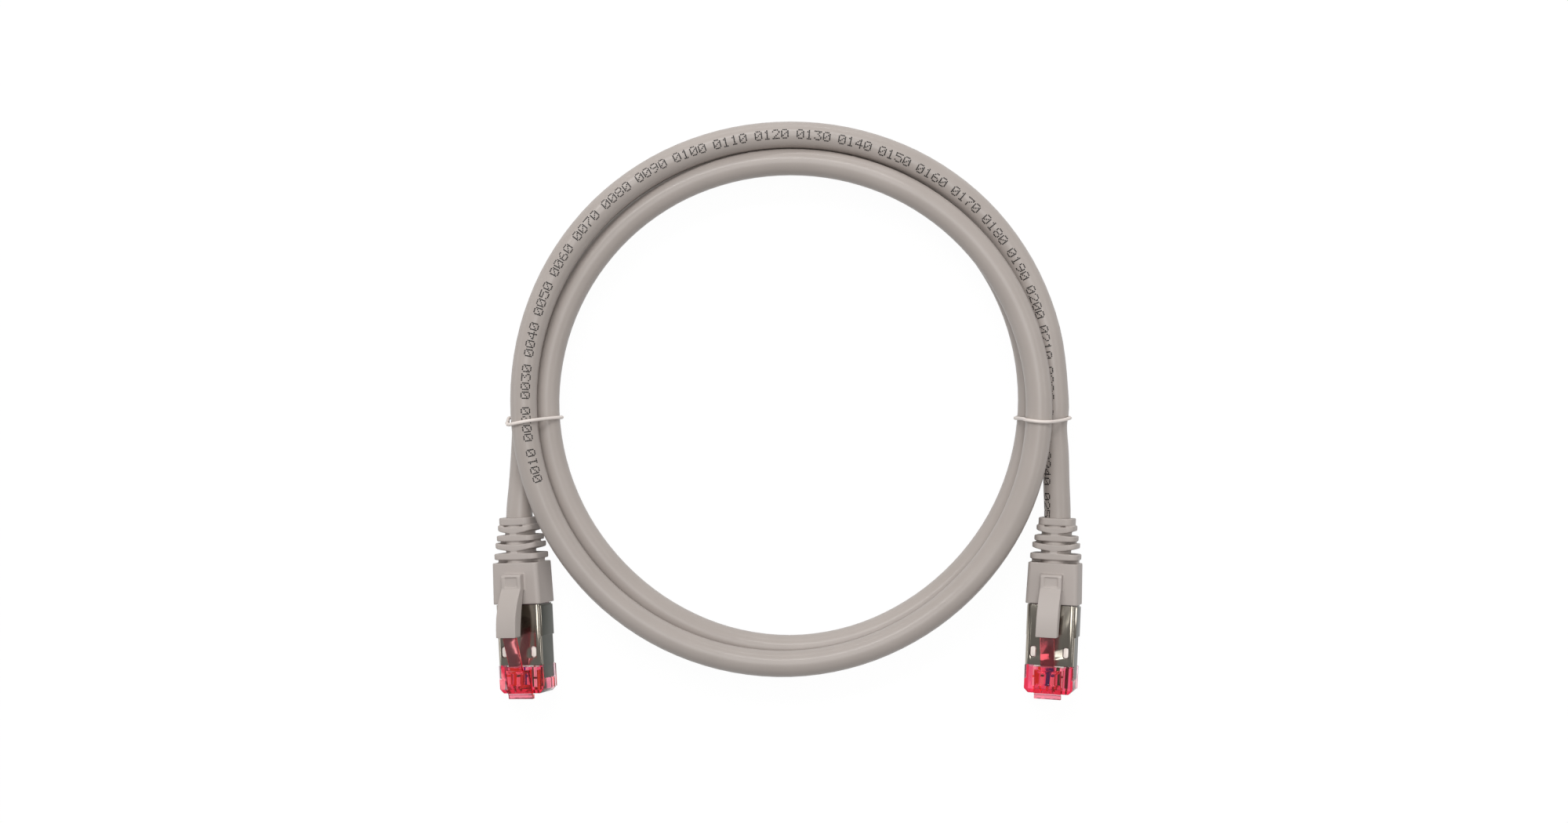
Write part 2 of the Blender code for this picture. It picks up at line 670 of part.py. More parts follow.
def make_latch(name, frame):
    hinge = (0, 0, NOSE_TOP + LATCH_ROOM)
    head_top = NOSE_TOP + HEAD_RISE
    head = [(-LATCH_LIP, NOSE_TOP - LIP_DROP), (-LIP_ROOM, NOSE_TOP - LIP_DROP)]
    head += [(-LIP_ROOM, hinge[2]), (HEAD_LENGTH, head_top - LATCH_THICKNESS)]
    head += [(HEAD_LENGTH, head_top), (-LATCH_LIP, NOSE_TOP + LIP_RISE)]
    bm = bmesh.new()
    add_profile(bm, head, about(0, LATCH_WIDTH))
    latch = place(name, solid(name, bm, hinge), LATCH, frame, hinge)

    slope = (head_top - NOSE_TOP - LIP_RISE) / (HEAD_LENGTH + LATCH_LIP)
    root = HEAD_LENGTH - LATCH_THICKNESS
    tops = [(root, head_top - slope * LATCH_THICKNESS - ROOT_INSET)]
    tops += [(HEAD_LENGTH, head_top + LEVER_STEP)]
    tops += [(BEND_PLACE, NOSE_TOP + BEND_RISE), (LEVER_END, NOSE_TOP + LEVER_END_RISE)]
    lever = tops + [(y, z - LATCH_THICKNESS) for y, z in reversed(tops[1:])]
    lever += [(root, head_top - LATCH_THICKNESS + ROOT_INSET)]
    bm = bmesh.new()
    add_profile(bm, lever, about(0, LEVER_WIDTH))
    fuse(latch, "lever", bm, frame, hinge)


def tongue_top(y):
    """The tongue's upper line, easing down from its tip to the block."""
    drop = TONGUE_TOP - BOOT_TOP - BLOCK_RISE
    along = max(0.0, y - TONGUE_TIP) / (BLOCK_START - TONGUE_TIP)
    return TONGUE_TOP - drop * along**TONGUE_CURL


def make_tongue(name, frame):
    hinge = (0, HINGE_PLACE, HINGE_RISE)
    rear = HINGE_PLACE - TONGUE_SLIT / 2
    length = rear - TONGUE_TIP
    tip_low = TONGUE_TOP - TONGUE_DEPTH
    root_low = BOOT_TOP + TONGUE_ROOM
    top, low = [], []
    for k in range(TONGUE_STEPS + 1):
        t = k / TONGUE_STEPS
        y = TONGUE_TIP + length * t
        top.append((y, tongue_top(y)))
        low.append((y, tip_low + (root_low - tip_low) * t**ROOT_CURL))
    bm = bmesh.new()
    add_profile(bm, top + low[::-1], about(0, TONGUE_WIDTH))
    tongue = place(name, solid(name, bm, hinge), BOOT, frame, hinge)

    middle = (TONGUE_TIP + CHANNEL_END) / 2
    under = [(y, tongue_top(y) - TONGUE_SKIN) for y in (TONGUE_TIP, middle, CHANNEL_END)]
    outline = [(TONGUE_TIP - BEYOND, under[0][1])] + under
    outline += [(CHANNEL_END, BOOT_TOP), (TONGUE_TIP - BEYOND, BOOT_TOP)]
    bm = bmesh.new()
    add_profile(bm, outline, about(0, LEVER_WIDTH + 2 * CHANNEL_CLEARANCE))
    cut(tongue, "channel", bm, frame, hinge)


def rib_share(first, last, k):
    return first + (last - first) * k / (RIB_COUNT - 1)


def add_webs(bm):
    """Bridges between the ribs: by turns at both sides, and at the top and bottom."""
    gap = RIB_PITCH - RIB_THICKNESS
    for k in range(RIB_COUNT):
        start = BOOT_END + RIB_PITCH * k
        y = (start - SINK, start + gap + SINK)
        width = rib_share(RIB_FIRST_WIDTH, RIB_LAST_WIDTH, k) / 2 - WEB_INSET
        height = rib_share(RIB_FIRST_HEIGHT, RIB_LAST_HEIGHT, k) / 2 - WEB_INSET
        for side in (-1, 1):
            if k % 2:
                add_box(bm, about(0, WEB_WIDTH), y, (side * (height - WEB_DEPTH), side * height))
            else:
                inner = min(width - WEB_DEPTH, CABLE_RADIUS + CORE_WALL)
                add_box(bm, (side * inner, side * width), y, about(0, SIDE_WEB_HEIGHT))


def make_boot(name, frame):
    bm = bmesh.new()
    front = rounded(BOOT_FRONT_WIDTH, BOOT_FRONT_HEIGHT, BOOT_CORNER, BOOT_START)
    rear = rounded(BOOT_REAR_WIDTH, BOOT_REAR_HEIGHT, BOOT_CORNER, BOOT_END)
    add_loft(bm, [front, rear])
    boot = place(name, solid(name, bm), BOOT, frame)

    bm = bmesh.new()
    for k in range(RIB_COUNT):
        width = rib_share(RIB_FIRST_WIDTH, RIB_LAST_WIDTH, k)
        height = rib_share(RIB_FIRST_HEIGHT, RIB_LAST_HEIGHT, k)
        end = BOOT_END + RIB_PITCH * (k + 1)
        ends = (end - RIB_THICKNESS, end)
        add_loft(bm, [rounded(width, height, RIB_CORNER, y) for y in ends])
    fuse(boot, "ribs", bm, frame)

    bm = bmesh.new()
    add_rod(bm, BOOT_BORE + CORE_WALL, (BOOT_END - SINK, RIBS_END - SINK))
    fuse(boot, "core", bm, frame)
    bm = bmesh.new()
    add_webs(bm)
    fuse(boot, "webs", bm, frame)

    block_top = BOOT_TOP + BLOCK_RISE
    end = BLOCK_START + BLOCK_LENGTH
    outline = [(BLOCK_START, BOOT_TOP - SINK), (BLOCK_START, block_top)]
    for k in range(ROUND_STEPS + 1):
        angle = math.radians(90 * k / ROUND_STEPS)
        y = end - BLOCK_ROUND * (1 - math.sin(angle))
        outline.append((y, block_top - BLOCK_ROUND * (1 - math.cos(angle))))
    outline.append((end, BOOT_TOP - SINK))
    bm = bmesh.new()
    add_profile(bm, outline, about(0, TONGUE_WIDTH))
    fuse(boot, "block", bm, frame)

    bm = bmesh.new()
    y = about(BLOCK_START + BLOCK_LENGTH / 2, RECESS_LENGTH)
    add_box(bm, about(0, RECESS_WIDTH), y, (block_top - RECESS_DEPTH, block_top + BEYOND))
    width, height = NECK_WIDTH + 2 * BOOT_ROOM, NECK_HEIGHT + 2 * BOOT_ROOM
    y = (BOOT_START - BEYOND, NECK_END + END_ROOM)
    add_box(bm, about(0, width), y, about(0, height))
    cut(boot, "pocket", bm, frame)
    bm = bmesh.new()
    room_end = COLLAR_START + COLLAR_LENGTH + END_ROOM
    add_rod(bm, COLLAR_RADIUS + BOOT_ROOM, (NECK_END, room_end))
    cut(boot, "collar_room", bm, frame)
    bm = bmesh.new()
    add_rod(bm, BOOT_BORE, (COLLAR_START, RIBS_END + BEYOND))
    cut(boot, "bore", bm, frame)


def make_plug(key, pair_places):
    frame = bpy.data.objects.new(f"plug_{key}", None)
    bpy.context.collection.objects.link(frame)
    frame.matrix_world = plug_matrix(PLUGS[key])
    make_housing(f"plug_housing_{key}", frame)
    make_shell(f"shield_shell_{key}", frame)
    make_load_bar(f"load_bar_{key}", frame)
    make_latch(f"latch_{key}", frame)
    make_collar(f"crimp_collar_{key}", frame)
    make_boot(f"boot_{key}", frame)
    make_tongue(f"boot_tongue_{key}", frame)
    for i in range(CONTACT_COUNT):
        make_contact(f"contact_{key}_{i + 1}", i, frame)
        pair_place = pair_places[WIRE_COLOURS.index(WIRE_ORDER[i])]
        make_wire(f"wire_{key}_{i + 1}", i, pair_place, frame)


for old in list(bpy.data.objects):
    bpy.data.objects.remove(old, do_unlink=True)

JACKET = paint("grey_lszh_jacket", (0.43, 0.39, 0.37), 0.5)
BRAID = paint("tinned_copper_braid", (0.62, 0.62, 0.6), 0.4, metallic=0.9)
FOIL = paint("aluminium_foil", (0.75, 0.76, 0.77), 0.3, metallic=1.0)
BAND = paint("off_white_band", (0.78, 0.72, 0.68), 0.6)
HOUSING = paint("red_polycarbonate", (0.6, 0.05, 0.09), 0.15, alpha=0.6)
LATCH = paint("red_polycarbonate_latch", (0.6, 0.06, 0.1), 0.15, alpha=0.6)
SHELL = paint("nickel_plated_shell", (0.6, 0.59, 0.56), 0.15, metallic=1.0)
COLLAR = paint("nickel_plated_collar", (0.5, 0.49, 0.47), 0.3, metallic=1.0)
CONTACT = paint("gold_plated_contact", (0.9, 0.65, 0.25), 0.2, metallic=1.0)
BAR = paint("clear_load_bar", (0.8, 0.8, 0.8), 0.2, alpha=0.6)
BOOT = paint("grey_moulded_boot", (0.45, 0.41, 0.39), 0.55)
WIRES = {
    "orange": paint("orange_wire", (0.8, 0.25, 0.03), 0.4),
    "blue": paint("blue_wire", (0.03, 0.1, 0.5), 0.4),
    "brown": paint("brown_wire", (0.2, 0.08, 0.03), 0.4),
    "green": paint("green_wire", (0.03, 0.3, 0.1), 0.4),
}

make_cable()
for band_name, band_shape in BANDS.items():
    make_band(band_name, band_shape)
pair_lines = [pair_line(quarter) for quarter in range(len(WIRE_COLOURS))]
for plug_key, end_point in (("a", 0), ("b", -1)):
    to_plug = plug_matrix(PLUGS[plug_key]).inverted()
    make_plug(plug_key, [to_plug @ line[end_point] for line in pair_lines])
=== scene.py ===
import json
import math
import bpy
from mathutils import Matrix, Vector


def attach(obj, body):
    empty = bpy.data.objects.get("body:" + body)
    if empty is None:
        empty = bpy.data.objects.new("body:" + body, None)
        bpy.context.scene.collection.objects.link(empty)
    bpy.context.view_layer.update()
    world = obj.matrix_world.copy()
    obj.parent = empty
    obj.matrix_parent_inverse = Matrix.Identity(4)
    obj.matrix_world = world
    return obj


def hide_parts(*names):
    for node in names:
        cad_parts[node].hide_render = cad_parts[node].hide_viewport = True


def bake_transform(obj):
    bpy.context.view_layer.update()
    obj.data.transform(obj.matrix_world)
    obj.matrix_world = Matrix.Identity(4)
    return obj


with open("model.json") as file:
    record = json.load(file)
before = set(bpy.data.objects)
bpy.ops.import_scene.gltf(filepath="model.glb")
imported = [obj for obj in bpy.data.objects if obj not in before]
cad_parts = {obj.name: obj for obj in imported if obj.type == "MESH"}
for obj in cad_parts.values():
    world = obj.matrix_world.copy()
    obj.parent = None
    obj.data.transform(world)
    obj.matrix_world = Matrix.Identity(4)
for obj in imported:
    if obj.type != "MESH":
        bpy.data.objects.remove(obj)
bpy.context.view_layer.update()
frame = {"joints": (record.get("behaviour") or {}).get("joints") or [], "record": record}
mm = 0.001
plugKeys = ("a", "b")
plugWidth = 11.68  # millimetres, the usual width of an eight-way plug
nearly = 0.01  # millimetres, for places that count as the same
runOut = 1  # millimetres that a cutter runs past what it cuts


def rgb(hexColour):
    # an sRGB hex colour as linear red, green, blue and alpha
    channels = [int(hexColour[i:i + 2], 16) / 255 for i in (1, 3, 5)]
    return [c / 12.92 if c <= 0.04045 else ((c + 0.055) / 1.055) ** 2.4 for c in channels] + [1.0]


def addNode(material, kind, settings=(), links=()):
    # settings go by socket or property name, and links say what feeds each socket
    nodeTree = material.node_tree
    node = nodeTree.nodes.new(kind)
    for name, value in dict(settings).items():
        if isinstance(name, int) or name in node.inputs:
            node.inputs[name].default_value = value
        else:
            setattr(node, name, value)
    for socket, source in dict(links).items():
        nodeTree.links.new(source, node.inputs[socket])
    return node


def newMaterial(name, colour, roughness, **shading):
    material = bpy.data.materials.new(name)
    material.use_nodes = True
    shader = material.node_tree.nodes["Principled BSDF"]
    shader.inputs["Base Color"].default_value = rgb(colour)
    shader.inputs["Roughness"].default_value = roughness
    for socket, value in shading.items():
        shader.inputs[socket.replace("_", " ")].default_value = value
    return material, shader


# Opaque finishes: the colour drifts a little over centimetres, and a fine grain breaks the sheen
grainLook = {"driftEvery": 14 * mm, "driftDetail": 3.0, "rampFrom": 0.3, "rampTo": 0.7,
             "speckDetail": 2.0, "glossSpread": 0.14, "bumpStrength": 0.25}


def grained(name, colour, shade, roughness, grain, relief, **shading):
    material, shader = newMaterial(name, colour, roughness, **shading)
    links = material.node_tree.links
    onPiece = addNode(material, "ShaderNodeTexCoord").outputs["Object"]
    drift = addNode(material, "ShaderNodeTexNoise",
                    {"Scale": 1 / grainLook["driftEvery"], "Detail": grainLook["driftDetail"]},
                    {"Vector": onPiece})
    speck = addNode(material, "ShaderNodeTexNoise",
                    {"Scale": 1 / grain, "Detail": grainLook["speckDetail"]}, {"Vector": onPiece})
    tone = addNode(material, "ShaderNodeValToRGB", links={"Fac": drift.outputs["Fac"]})
    tone.color_ramp.elements[0].position = grainLook["rampFrom"]
    tone.color_ramp.elements[0].color = rgb(shade)
    tone.color_ramp.elements[1].position = grainLook["rampTo"]
    tone.color_ramp.elements[1].color = rgb(colour)
    spread = grainLook["glossSpread"] * roughness
    gloss = addNode(material, "ShaderNodeMapRange",
                    {"To Min": roughness - spread, "To Max": roughness + spread},
                    {"Value": speck.outputs["Fac"]})
    bump = addNode(material, "ShaderNodeBump",
                   {"Strength": grainLook["bumpStrength"], "Distance": relief},
                   {"Height": speck.outputs["Fac"]})
    links.new(tone.outputs["Color"], shader.inputs["Base Color"])
    links.new(gloss.outputs["Result"], shader.inputs["Roughness"])
    links.new(bump.outputs["Normal"], shader.inputs["Normal"])
    return material


# Clear plastic: the tint is in its depth, so thin edges stay pale. Long flow marks bend the light a little
flowLook = {"across": 1.2 * mm, "along": 5 * mm, "detail": 1.0, "bumpStrength": 0.3, "relief": 0.05 * mm}


def clearPlastic(name, tint, density, roughness, ior):
    material, shader = newMaterial(name, "#ffffff", roughness, Transmission_Weight=1.0, IOR=ior)
    links = material.node_tree.links
    onPiece = addNode(material, "ShaderNodeTexCoord").outputs["Object"]
    scale = (1 / flowLook["across"], 1 / flowLook["along"], 1 / flowLook["across"])
    stretched = addNode(material, "ShaderNodeMapping", {"Scale": scale}, {"Vector": onPiece})
    flow = addNode(material, "ShaderNodeTexNoise", {"Scale": 1.0, "Detail": flowLook["detail"]},
                   {"Vector": stretched.outputs["Vector"]})
    bump = addNode(material, "ShaderNodeBump",
                   {"Strength": flowLook["bumpStrength"], "Distance": flowLook["relief"]},
                   {"Height": flow.outputs["Fac"]})
    depth = addNode(material, "ShaderNodeVolumeAbsorption", {"Color": rgb(tint), "Density": density})
    output = material.node_tree.nodes["Material Output"]
    links.new(bump.outputs["Normal"], shader.inputs["Normal"])
    links.new(depth.outputs["Volume"], output.inputs["Volume"])
    return material


# Wire insulation: one colour, or pale with rings of the pair's colour. It lets some light through,
# and a faint painted glow stands for the light that the clear plug carries in to it
wireLook = {"roughness": 0.35, "glow": 0.3, "ringEvery": 3 * mm, "ringFrom": 0.93, "ringFull": 0.97,
            "wobble": 0.2}


def wireInsulation(name, colour, clearness, mark=None):
    # the emission is painted light: the wire glows faintly in its own colour
    material, shader = newMaterial(name, colour, wireLook["roughness"], Transmission_Weight=clearness,
                                   Emission_Strength=wireLook["glow"])
    onPiece = addNode(material, "ShaderNodeTexCoord").outputs["Object"]
    # a wave texture of scale 1 turns by 20 radians in each unit of length
    rings = addNode(material, "ShaderNodeTexWave",
                    {"bands_direction": "Y", "Scale": math.tau / (20 * wireLook["ringEvery"]),
                     "Distortion": wireLook["wobble"]}, {"Vector": onPiece})
    tone = addNode(material, "ShaderNodeValToRGB", links={"Fac": rings.outputs["Fac"]})
    tone.color_ramp.elements[0].position = wireLook["ringFrom"]
    tone.color_ramp.elements[0].color = rgb(colour)
    tone.color_ramp.elements[1].position = wireLook["ringFull"]
    tone.color_ramp.elements[1].color = rgb(mark or colour)
    for socket in ("Base Color", "Emission Color"):
        material.node_tree.links.new(tone.outputs["Color"], shader.inputs[socket])
    return material


def paint(obj, material):
    obj.data.materials.clear()
    obj.data.materials.append(material)


# halogen-free jacket compound, extruded: satin warm grey, with a soft broad sheen
jacketPlastic = grained("lszhJacketExtruded", "#b0a7a1", "#aba29c", 0.38, 0.09 * mm, 0.008 * mm,
                        Specular_IOR_Level=0.35, Coat_Weight=0.12, Coat_Roughness=0.11)
# moulded TPE: the same grey, duller, with a spark-eroded grain of about 0.05 mm, drawn twice as coarse
bootRubber = grained("tpeBootMoulded", "#b5aca7", "#b1a8a2", 0.55, 0.1 * mm, 0.012 * mm)
# silicone cord, extruded: off-white and waxy
bandSilicone = grained("siliconeBandExtruded", "#e9e0da", "#e3d8d1", 0.45, 0.12 * mm, 0.004 * mm)
# ink-jet dots: near black, dull
markInk = grained("inkJetDots", "#1d1816", "#181311", 0.6, 0.1 * mm, 0.002 * mm)
# bright nickel over drawn steel: a dark mirror with a faint drawn grain
nickelShell = grained("nickelPlatedDrawnSteel", "#aba499", "#9f988d", 0.18, 0.12 * mm, 0.003 * mm,
                      Metallic=1.0)
# the same nickel for the sides: duller, and darker in colour as a painted dark reflection of the surroundings
nickelSidePaintedDark = grained("nickelPlatedSteelPaintedDark", "#565752", "#4e4f4a", 0.38, 0.15 * mm, 0.006 * mm,
                     Metallic=1.0)
# the same plate on brass, dulled by the crimping tool
crimpMetal = grained("nickelPlatedCrimpedBrass", "#a9a49b", "#9b968d", 0.34, 0.2 * mm, 0.008 * mm,
                     Metallic=1.0)
# hard gold over nickel, stamped: warm and bright
goldPlate = grained("goldPlatedStampedBronze", "#dfae58", "#d3a04c", 0.22, 0.1 * mm, 0.002 * mm,
                    Metallic=1.0)
# tinned copper braid: grey metal with the crossing of its fine wires, drawn at 0.4 mm
braidMetal = grained("tinnedCopperBraided", "#a5a39f", "#8a8884", 0.4, 0.4 * mm, 0.05 * mm, Metallic=1.0)
# aluminium foil, lapped: bright, with creases of about 0.6 mm
foilMetal = grained("aluminiumFoilLapped", "#c9cacb", "#bfc0c1", 0.28, 0.6 * mm, 0.04 * mm, Metallic=1.0)
# clear red polycarbonate, moulded: red in its depth and pink where it is thin
redClear = clearPlastic("redPolycarbonateMoulded", "#fa5ca2", 580, 0.08, 1.58)
# the latch's own batch of the same plastic, dyed deeper
latchClear = clearPlastic("deepRedPolycarbonateMoulded", "#fa6696", 1250, 0.05, 1.58)
# milky polycarbonate, moulded: the bosses that look white in the shell's windows
bossMilky = grained("milkyPolycarbonateMoulded", "#fdf6ee", "#fbf0e6", 0.3, 0.1 * mm, 0.004 * mm)
# water-clear polycarbonate, moulded: barely tinted
barClear = clearPlastic("clearPolycarbonateMoulded", "#fff4e8", 60, 0.08, 1.58)
# polyolefin insulation, extruded: satin, and clearer where it is pale
wireColours = {"orange": "#e0701c", "green": "#2c8a4a", "blue": "#2a4fae", "brown": "#5d3420"}
solidWires = {pair: wireInsulation(pair + "WireExtruded", colour, 0.5)
              for pair, colour in wireColours.items()}
markedWires = {pair: wireInsulation(pair + "MarkedWireExtruded", "#f4efe9", 0.85, colour)
               for pair, colour in wireColours.items()}
wireOrder = ("orange", "orange", "green", "blue", "blue", "green", "brown", "brown")


def focus(obj):
    bpy.ops.object.select_all(action="DESELECT")
    obj.select_set(True)
    bpy.context.view_layer.objects.active = obj
    return obj


def named(name):
    made = bpy.context.object
    made.name = name
    made.data.name = name
    return made


def applyModifier(obj, kind, **settings):
    focus(obj)
    modifier = obj.modifiers.new(kind.lower(), kind)
    for key, value in settings.items():
        setattr(modifier, key, value)
    bpy.ops.object.modifier_apply(modifier=modifier.name)
    return obj


def smoothed(obj, creaseAngle):
    focus(obj)
    bpy.ops.object.shade_smooth_by_angle(angle=math.radians(creaseAngle))
    return obj


# The camera looks straight down, as the photograph does. Its angle is in degrees across the picture
view = {"place": (-1.04 * mm, 46.54 * mm, 600 * mm), "wideAngle": 34.9, "sensor": 36}

bpy.ops.object.camera_add(location=view["place"], rotation=(0, 0, 0))
camera = bpy.context.object
camera.data.sensor_width = view["sensor"]
camera.data.angle = math.radians(view["wideAngle"])
bpy.context.scene.camera = camera
bpy.context.scene.view_settings.view_transform = "Standard"

# Soft studio light, mostly from the far side, in metres and watts
lamps = {
    "overhead": {"at": (0.06, 0.16, 1.1), "size": (0.5, 0.5), "watts": 3.0},
    "farSoftbox": {"at": (-0.15, 0.62, 0.85), "size": (0.8, 0.2), "watts": 5.0},
    "farStrip": {"at": (-0.1, 1.1, 0.22), "size": (1.2, 0.03), "watts": 2.4},
    "rightStrip": {"at": (0.7, 0.1, 0.55), "size": (0.9, 0.10), "watts": 1.0},
    "leftStrip": {"at": (-0.9, 0.1, 0.22), "size": (0.9, 0.12), "watts": 1.1},
}
lampsAim = Vector((0, 0.04, 0))
for name, lamp in lamps.items():
    spot = Vector(lamp["at"])
    turn = (lampsAim - spot).to_track_quat("-Z", "Y").to_euler()
    bpy.ops.object.light_add(type="AREA", location=spot, rotation=turn)
    light = bpy.context.object
    light.name = name
    light.data.shape = "RECTANGLE"
    light.data.size, light.data.size_y = lamp["size"]
    light.data.energy = lamp["watts"]

# A dim white room with a white floor: shadows stay faint, and metal and clear plastic see it white too
room = {"brightness": 0.28, "floorSize": 6, "floorDrop": 0.01 * mm, "paper": "#c8c8c8", "paperRoughness": 0.9,
        "glow": 1.05, "glowShare": 0.92}

world = bpy.data.worlds.new("studio")
bpy.context.scene.world = world
world.use_nodes = True
background = world.node_tree.nodes["Background"]
background.inputs["Color"].default_value = (1, 1, 1, 1)
background.inputs["Strength"].default_value = room["brightness"]

bpy.ops.mesh.primitive_plane_add(size=room["floorSize"], location=(0, 0, -room["floorDrop"]))
floor = named("floor")
floorPaper, floorShader = newMaterial("whitePaperSweep", room["paper"], room["paperRoughness"])
rays = addNode(floorPaper, "ShaderNodeLightPath").outputs
bent = addNode(floorPaper, "ShaderNodeMath", {"operation": "MAXIMUM"},
               {0: rays["Is Glossy Ray"], 1: rays["Is Transmission Ray"]})
seen = addNode(floorPaper, "ShaderNodeMath", {"operation": "MAXIMUM"},
               {0: rays["Is Camera Ray"], 1: bent.outputs[0]})
share = addNode(floorPaper, "ShaderNodeMath", {"operation": "MULTIPLY", 1: room["glowShare"]},
                {0: seen.outputs[0]})
glow = addNode(floorPaper, "ShaderNodeEmission", {"Strength": room["glow"]})
blended = addNode(floorPaper, "ShaderNodeMixShader",
                  links={0: share.outputs[0], 1: floorShader.outputs[0], 2: glow.outputs[0]})
floorOutput = floorPaper.node_tree.nodes["Material Output"]
floorPaper.node_tree.links.new(blended.outputs[0], floorOutput.inputs["Surface"])
floor.data.materials.append(floorPaper)
print("stage and camera set")


# The plugs' own frames: x across, y from the nose to the cable, z up through the latch
latchPivotHeight = 3.45 * mm  # the latch's hinge lies this far above the middle of the nose's front
joints = {joint["name"]: joint for joint in frame["joints"]}
mounts = {mount["name"]: mount for mount in frame["record"]["mounts"]}


def plugFrame(key):
    across = Vector(joints[f"tongue_{key}_press"]["axis"]).normalized()
    up = -Vector(mounts[f"plug_{key}_seat"]["axis"]).normalized()
    along = up.cross(across)
    nose = Vector(joints[f"latch_{key}_press"]["pos_m"]) - latchPivotHeight * up
    turn = Matrix((across, along, up)).transposed().to_4x4()
    return Matrix.Translation(nose) @ turn


plugs = {key: plugFrame(key) for key in plugKeys}


# The cable: one length, coiled two and a half turns between the boots
cable = {
    "diameter": 6.2 * mm,
    "skin": 0.05 * mm,  # the drawn jacket stands this far out of its nominal size, as a soft jacket may
    "pitch": 6.66 * mm,
    "centre": (0.46 * mm, 49.44 * mm),
    "radius": 60 * mm,
    "startAngle": -90,
    "endAngle": 810,
    "pointsPerTurn": 24,
    "stationEvery": 45,
    # at each station, in pitches off the radius and up from the table
    "across": (0.51, 0.20, -0.05, -0.27, -0.37, -0.27, -0.07, -0.21, -0.31, -0.45, -0.57,
               -0.45, -0.21, 0.09, 0.40, 0.52, 0.42, 0.44, 0.40, 0.51, 0.45),
    "up": (0.15, 0.03, 0.00, 0.04, 0.15, 0.03, 0.00, 0.40, 0.77, 0.83, 0.90,
           1.16, 1.40, 1.02, 0.92, 1.15, 1.49, 1.36, 0.92, 0.72, 0.68),
    # in millimetres, from boot a to the coil and from the coil to boot b
    "tails": {"a": ((-63.5, 29.4, 5.1), (-63.1, 36.5, 4.4), (-62.85, 43.2, 4.1)),
              "b": ((63.1, 43.0, 7.2), (63.6, 36.4, 6.5), (63.86, 29.5, 5.8))},
    # along each plug in millimetres, from the crimp to the end of the boot
    "inBoot": (24.45, 33.0, 41.9),
    "sides": 36,
    "stepsBetween": 5,
}
cableRadius = cable["diameter"] / 2
pointAngle = 360 / cable["pointsPerTurn"]


def between(values, station):
    # smooth curve through evenly spaced values
    last = len(values) - 1
    i = min(int(station), last - 1)
    t = station - i
    before, here, there, after = (values[min(max(k, 0), last)] for k in range(i - 1, i + 3))
    return here + 0.5 * t * (there - before + t * (2 * before - 5 * here + 4 * there - after
                                                   + t * (3 * here - before - 3 * there + after)))


def coilPoint(degrees):
    station = (degrees - cable["startAngle"]) / cable["stationEvery"]
    radius = cable["radius"] + cable["pitch"] * between(cable["across"], station)
    height = cableRadius + cable["pitch"] * between(cable["up"], station)
    angle = math.radians(degrees)
    x = cable["centre"][0] + radius * math.sin(angle)
    y = cable["centre"][1] + radius * math.cos(angle)
    return Vector((x, y, height))


def cableRoute():
    inBoot = {key: [plugs[key] @ Vector((0, y * mm, 0)) for y in cable["inBoot"]] for key in plugKeys}
    tails = {key: [Vector(point) * mm for point in cable["tails"][key]] for key in plugKeys}
    steps = round((cable["endAngle"] - cable["startAngle"]) / pointAngle)
    coil = [coilPoint(cable["startAngle"] + pointAngle * i) for i in range(steps + 1)]
    points = inBoot["a"] + tails["a"] + coil + tails["b"] + inBoot["b"][::-1]
    count = (len(points) - 1) * cable["stepsBetween"]
    smooth = [between(points, k / cable["stepsBetween"]) for k in range(count + 1)]
    for point in smooth:
        point.z = max(point.z, cableRadius + cable["skin"])
    return smooth


def tube(name, points, diameter, sides, closed=False, weld=0.0005 * mm, creaseAngle=50):
    # a round tube along the points, drawn as a bevelled curve and then made a mesh
    curve = bpy.data.curves.new(name, "CURVE")
    curve.dimensions = "3D"
    curve.twist_mode = "MINIMUM" if closed else "Z_UP"
    curve.bevel_depth = diameter / 2
    curve.bevel_resolution = sides // 4 - 1
    curve.use_fill_caps = not closed
    line = curve.splines.new("POLY")
    line.points.add(len(points) - 1)
    for knot, point in zip(line.points, points):
        knot.co = (*point, 1)
    line.use_cyclic_u = closed
    made = bpy.data.objects.new(name, curve)
    bpy.context.collection.objects.link(made)
    focus(made)
    bpy.ops.object.convert(target="MESH")
    bpy.ops.object.mode_set(mode="EDIT")
    bpy.ops.mesh.select_all(action="SELECT")
    bpy.ops.mesh.remove_doubles(threshold=weld)
    bpy.ops.mesh.normals_make_consistent(inside=False)
    bpy.ops.object.mode_set(mode="OBJECT")
    return smoothed(named(name), creaseAngle)


route = cableRoute()
jacket = tube("cableJacket", route, cable["diameter"] + 2 * cable["skin"], cable["sides"])
paint(jacket, jacketPlastic)
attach(jacket, "cable")
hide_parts("cable_jacket")


# Two thin bands hold the turns together
bands = {
    # skew, lean and sag move parts of the loop along the coil, and slack opens it on its outer side
    "tie_band_left": {"angle": 265.5, "skew": 1.05 * mm, "lean": 0.0, "sag": -0.3 * mm, "slack": 0.5 * mm},
    "tie_band_right": {"angle": 93.8, "skew": 0.0, "lean": 0.9 * mm, "sag": -0.9 * mm, "slack": 0.0},
    "thickness": 0.84 * mm,
    "clearance": 0.1 * mm,
    "sides": 12,
    "points": 96,
    "straightStep": 0.8 * mm,
    "slackPower": 6,
    "flipRate": 4,  # how quickly the loop passes from its upper run to its lower one
    "sameSide": 0.01,
}


def turnsAt(centre, outward, forward):
    # how far out and how high each turn of the cable crosses the band
    turns = []
    for here, there in zip(route, route[1:]):
        behind, ahead = (here - centre).dot(forward), (there - centre).dot(forward)
        if behind < 0 <= ahead and (here - centre).dot(outward) > 0:
            spot = here.lerp(there, behind / (behind - ahead)) - centre
            turns.append((spot.dot(outward), spot.z))
    return turns


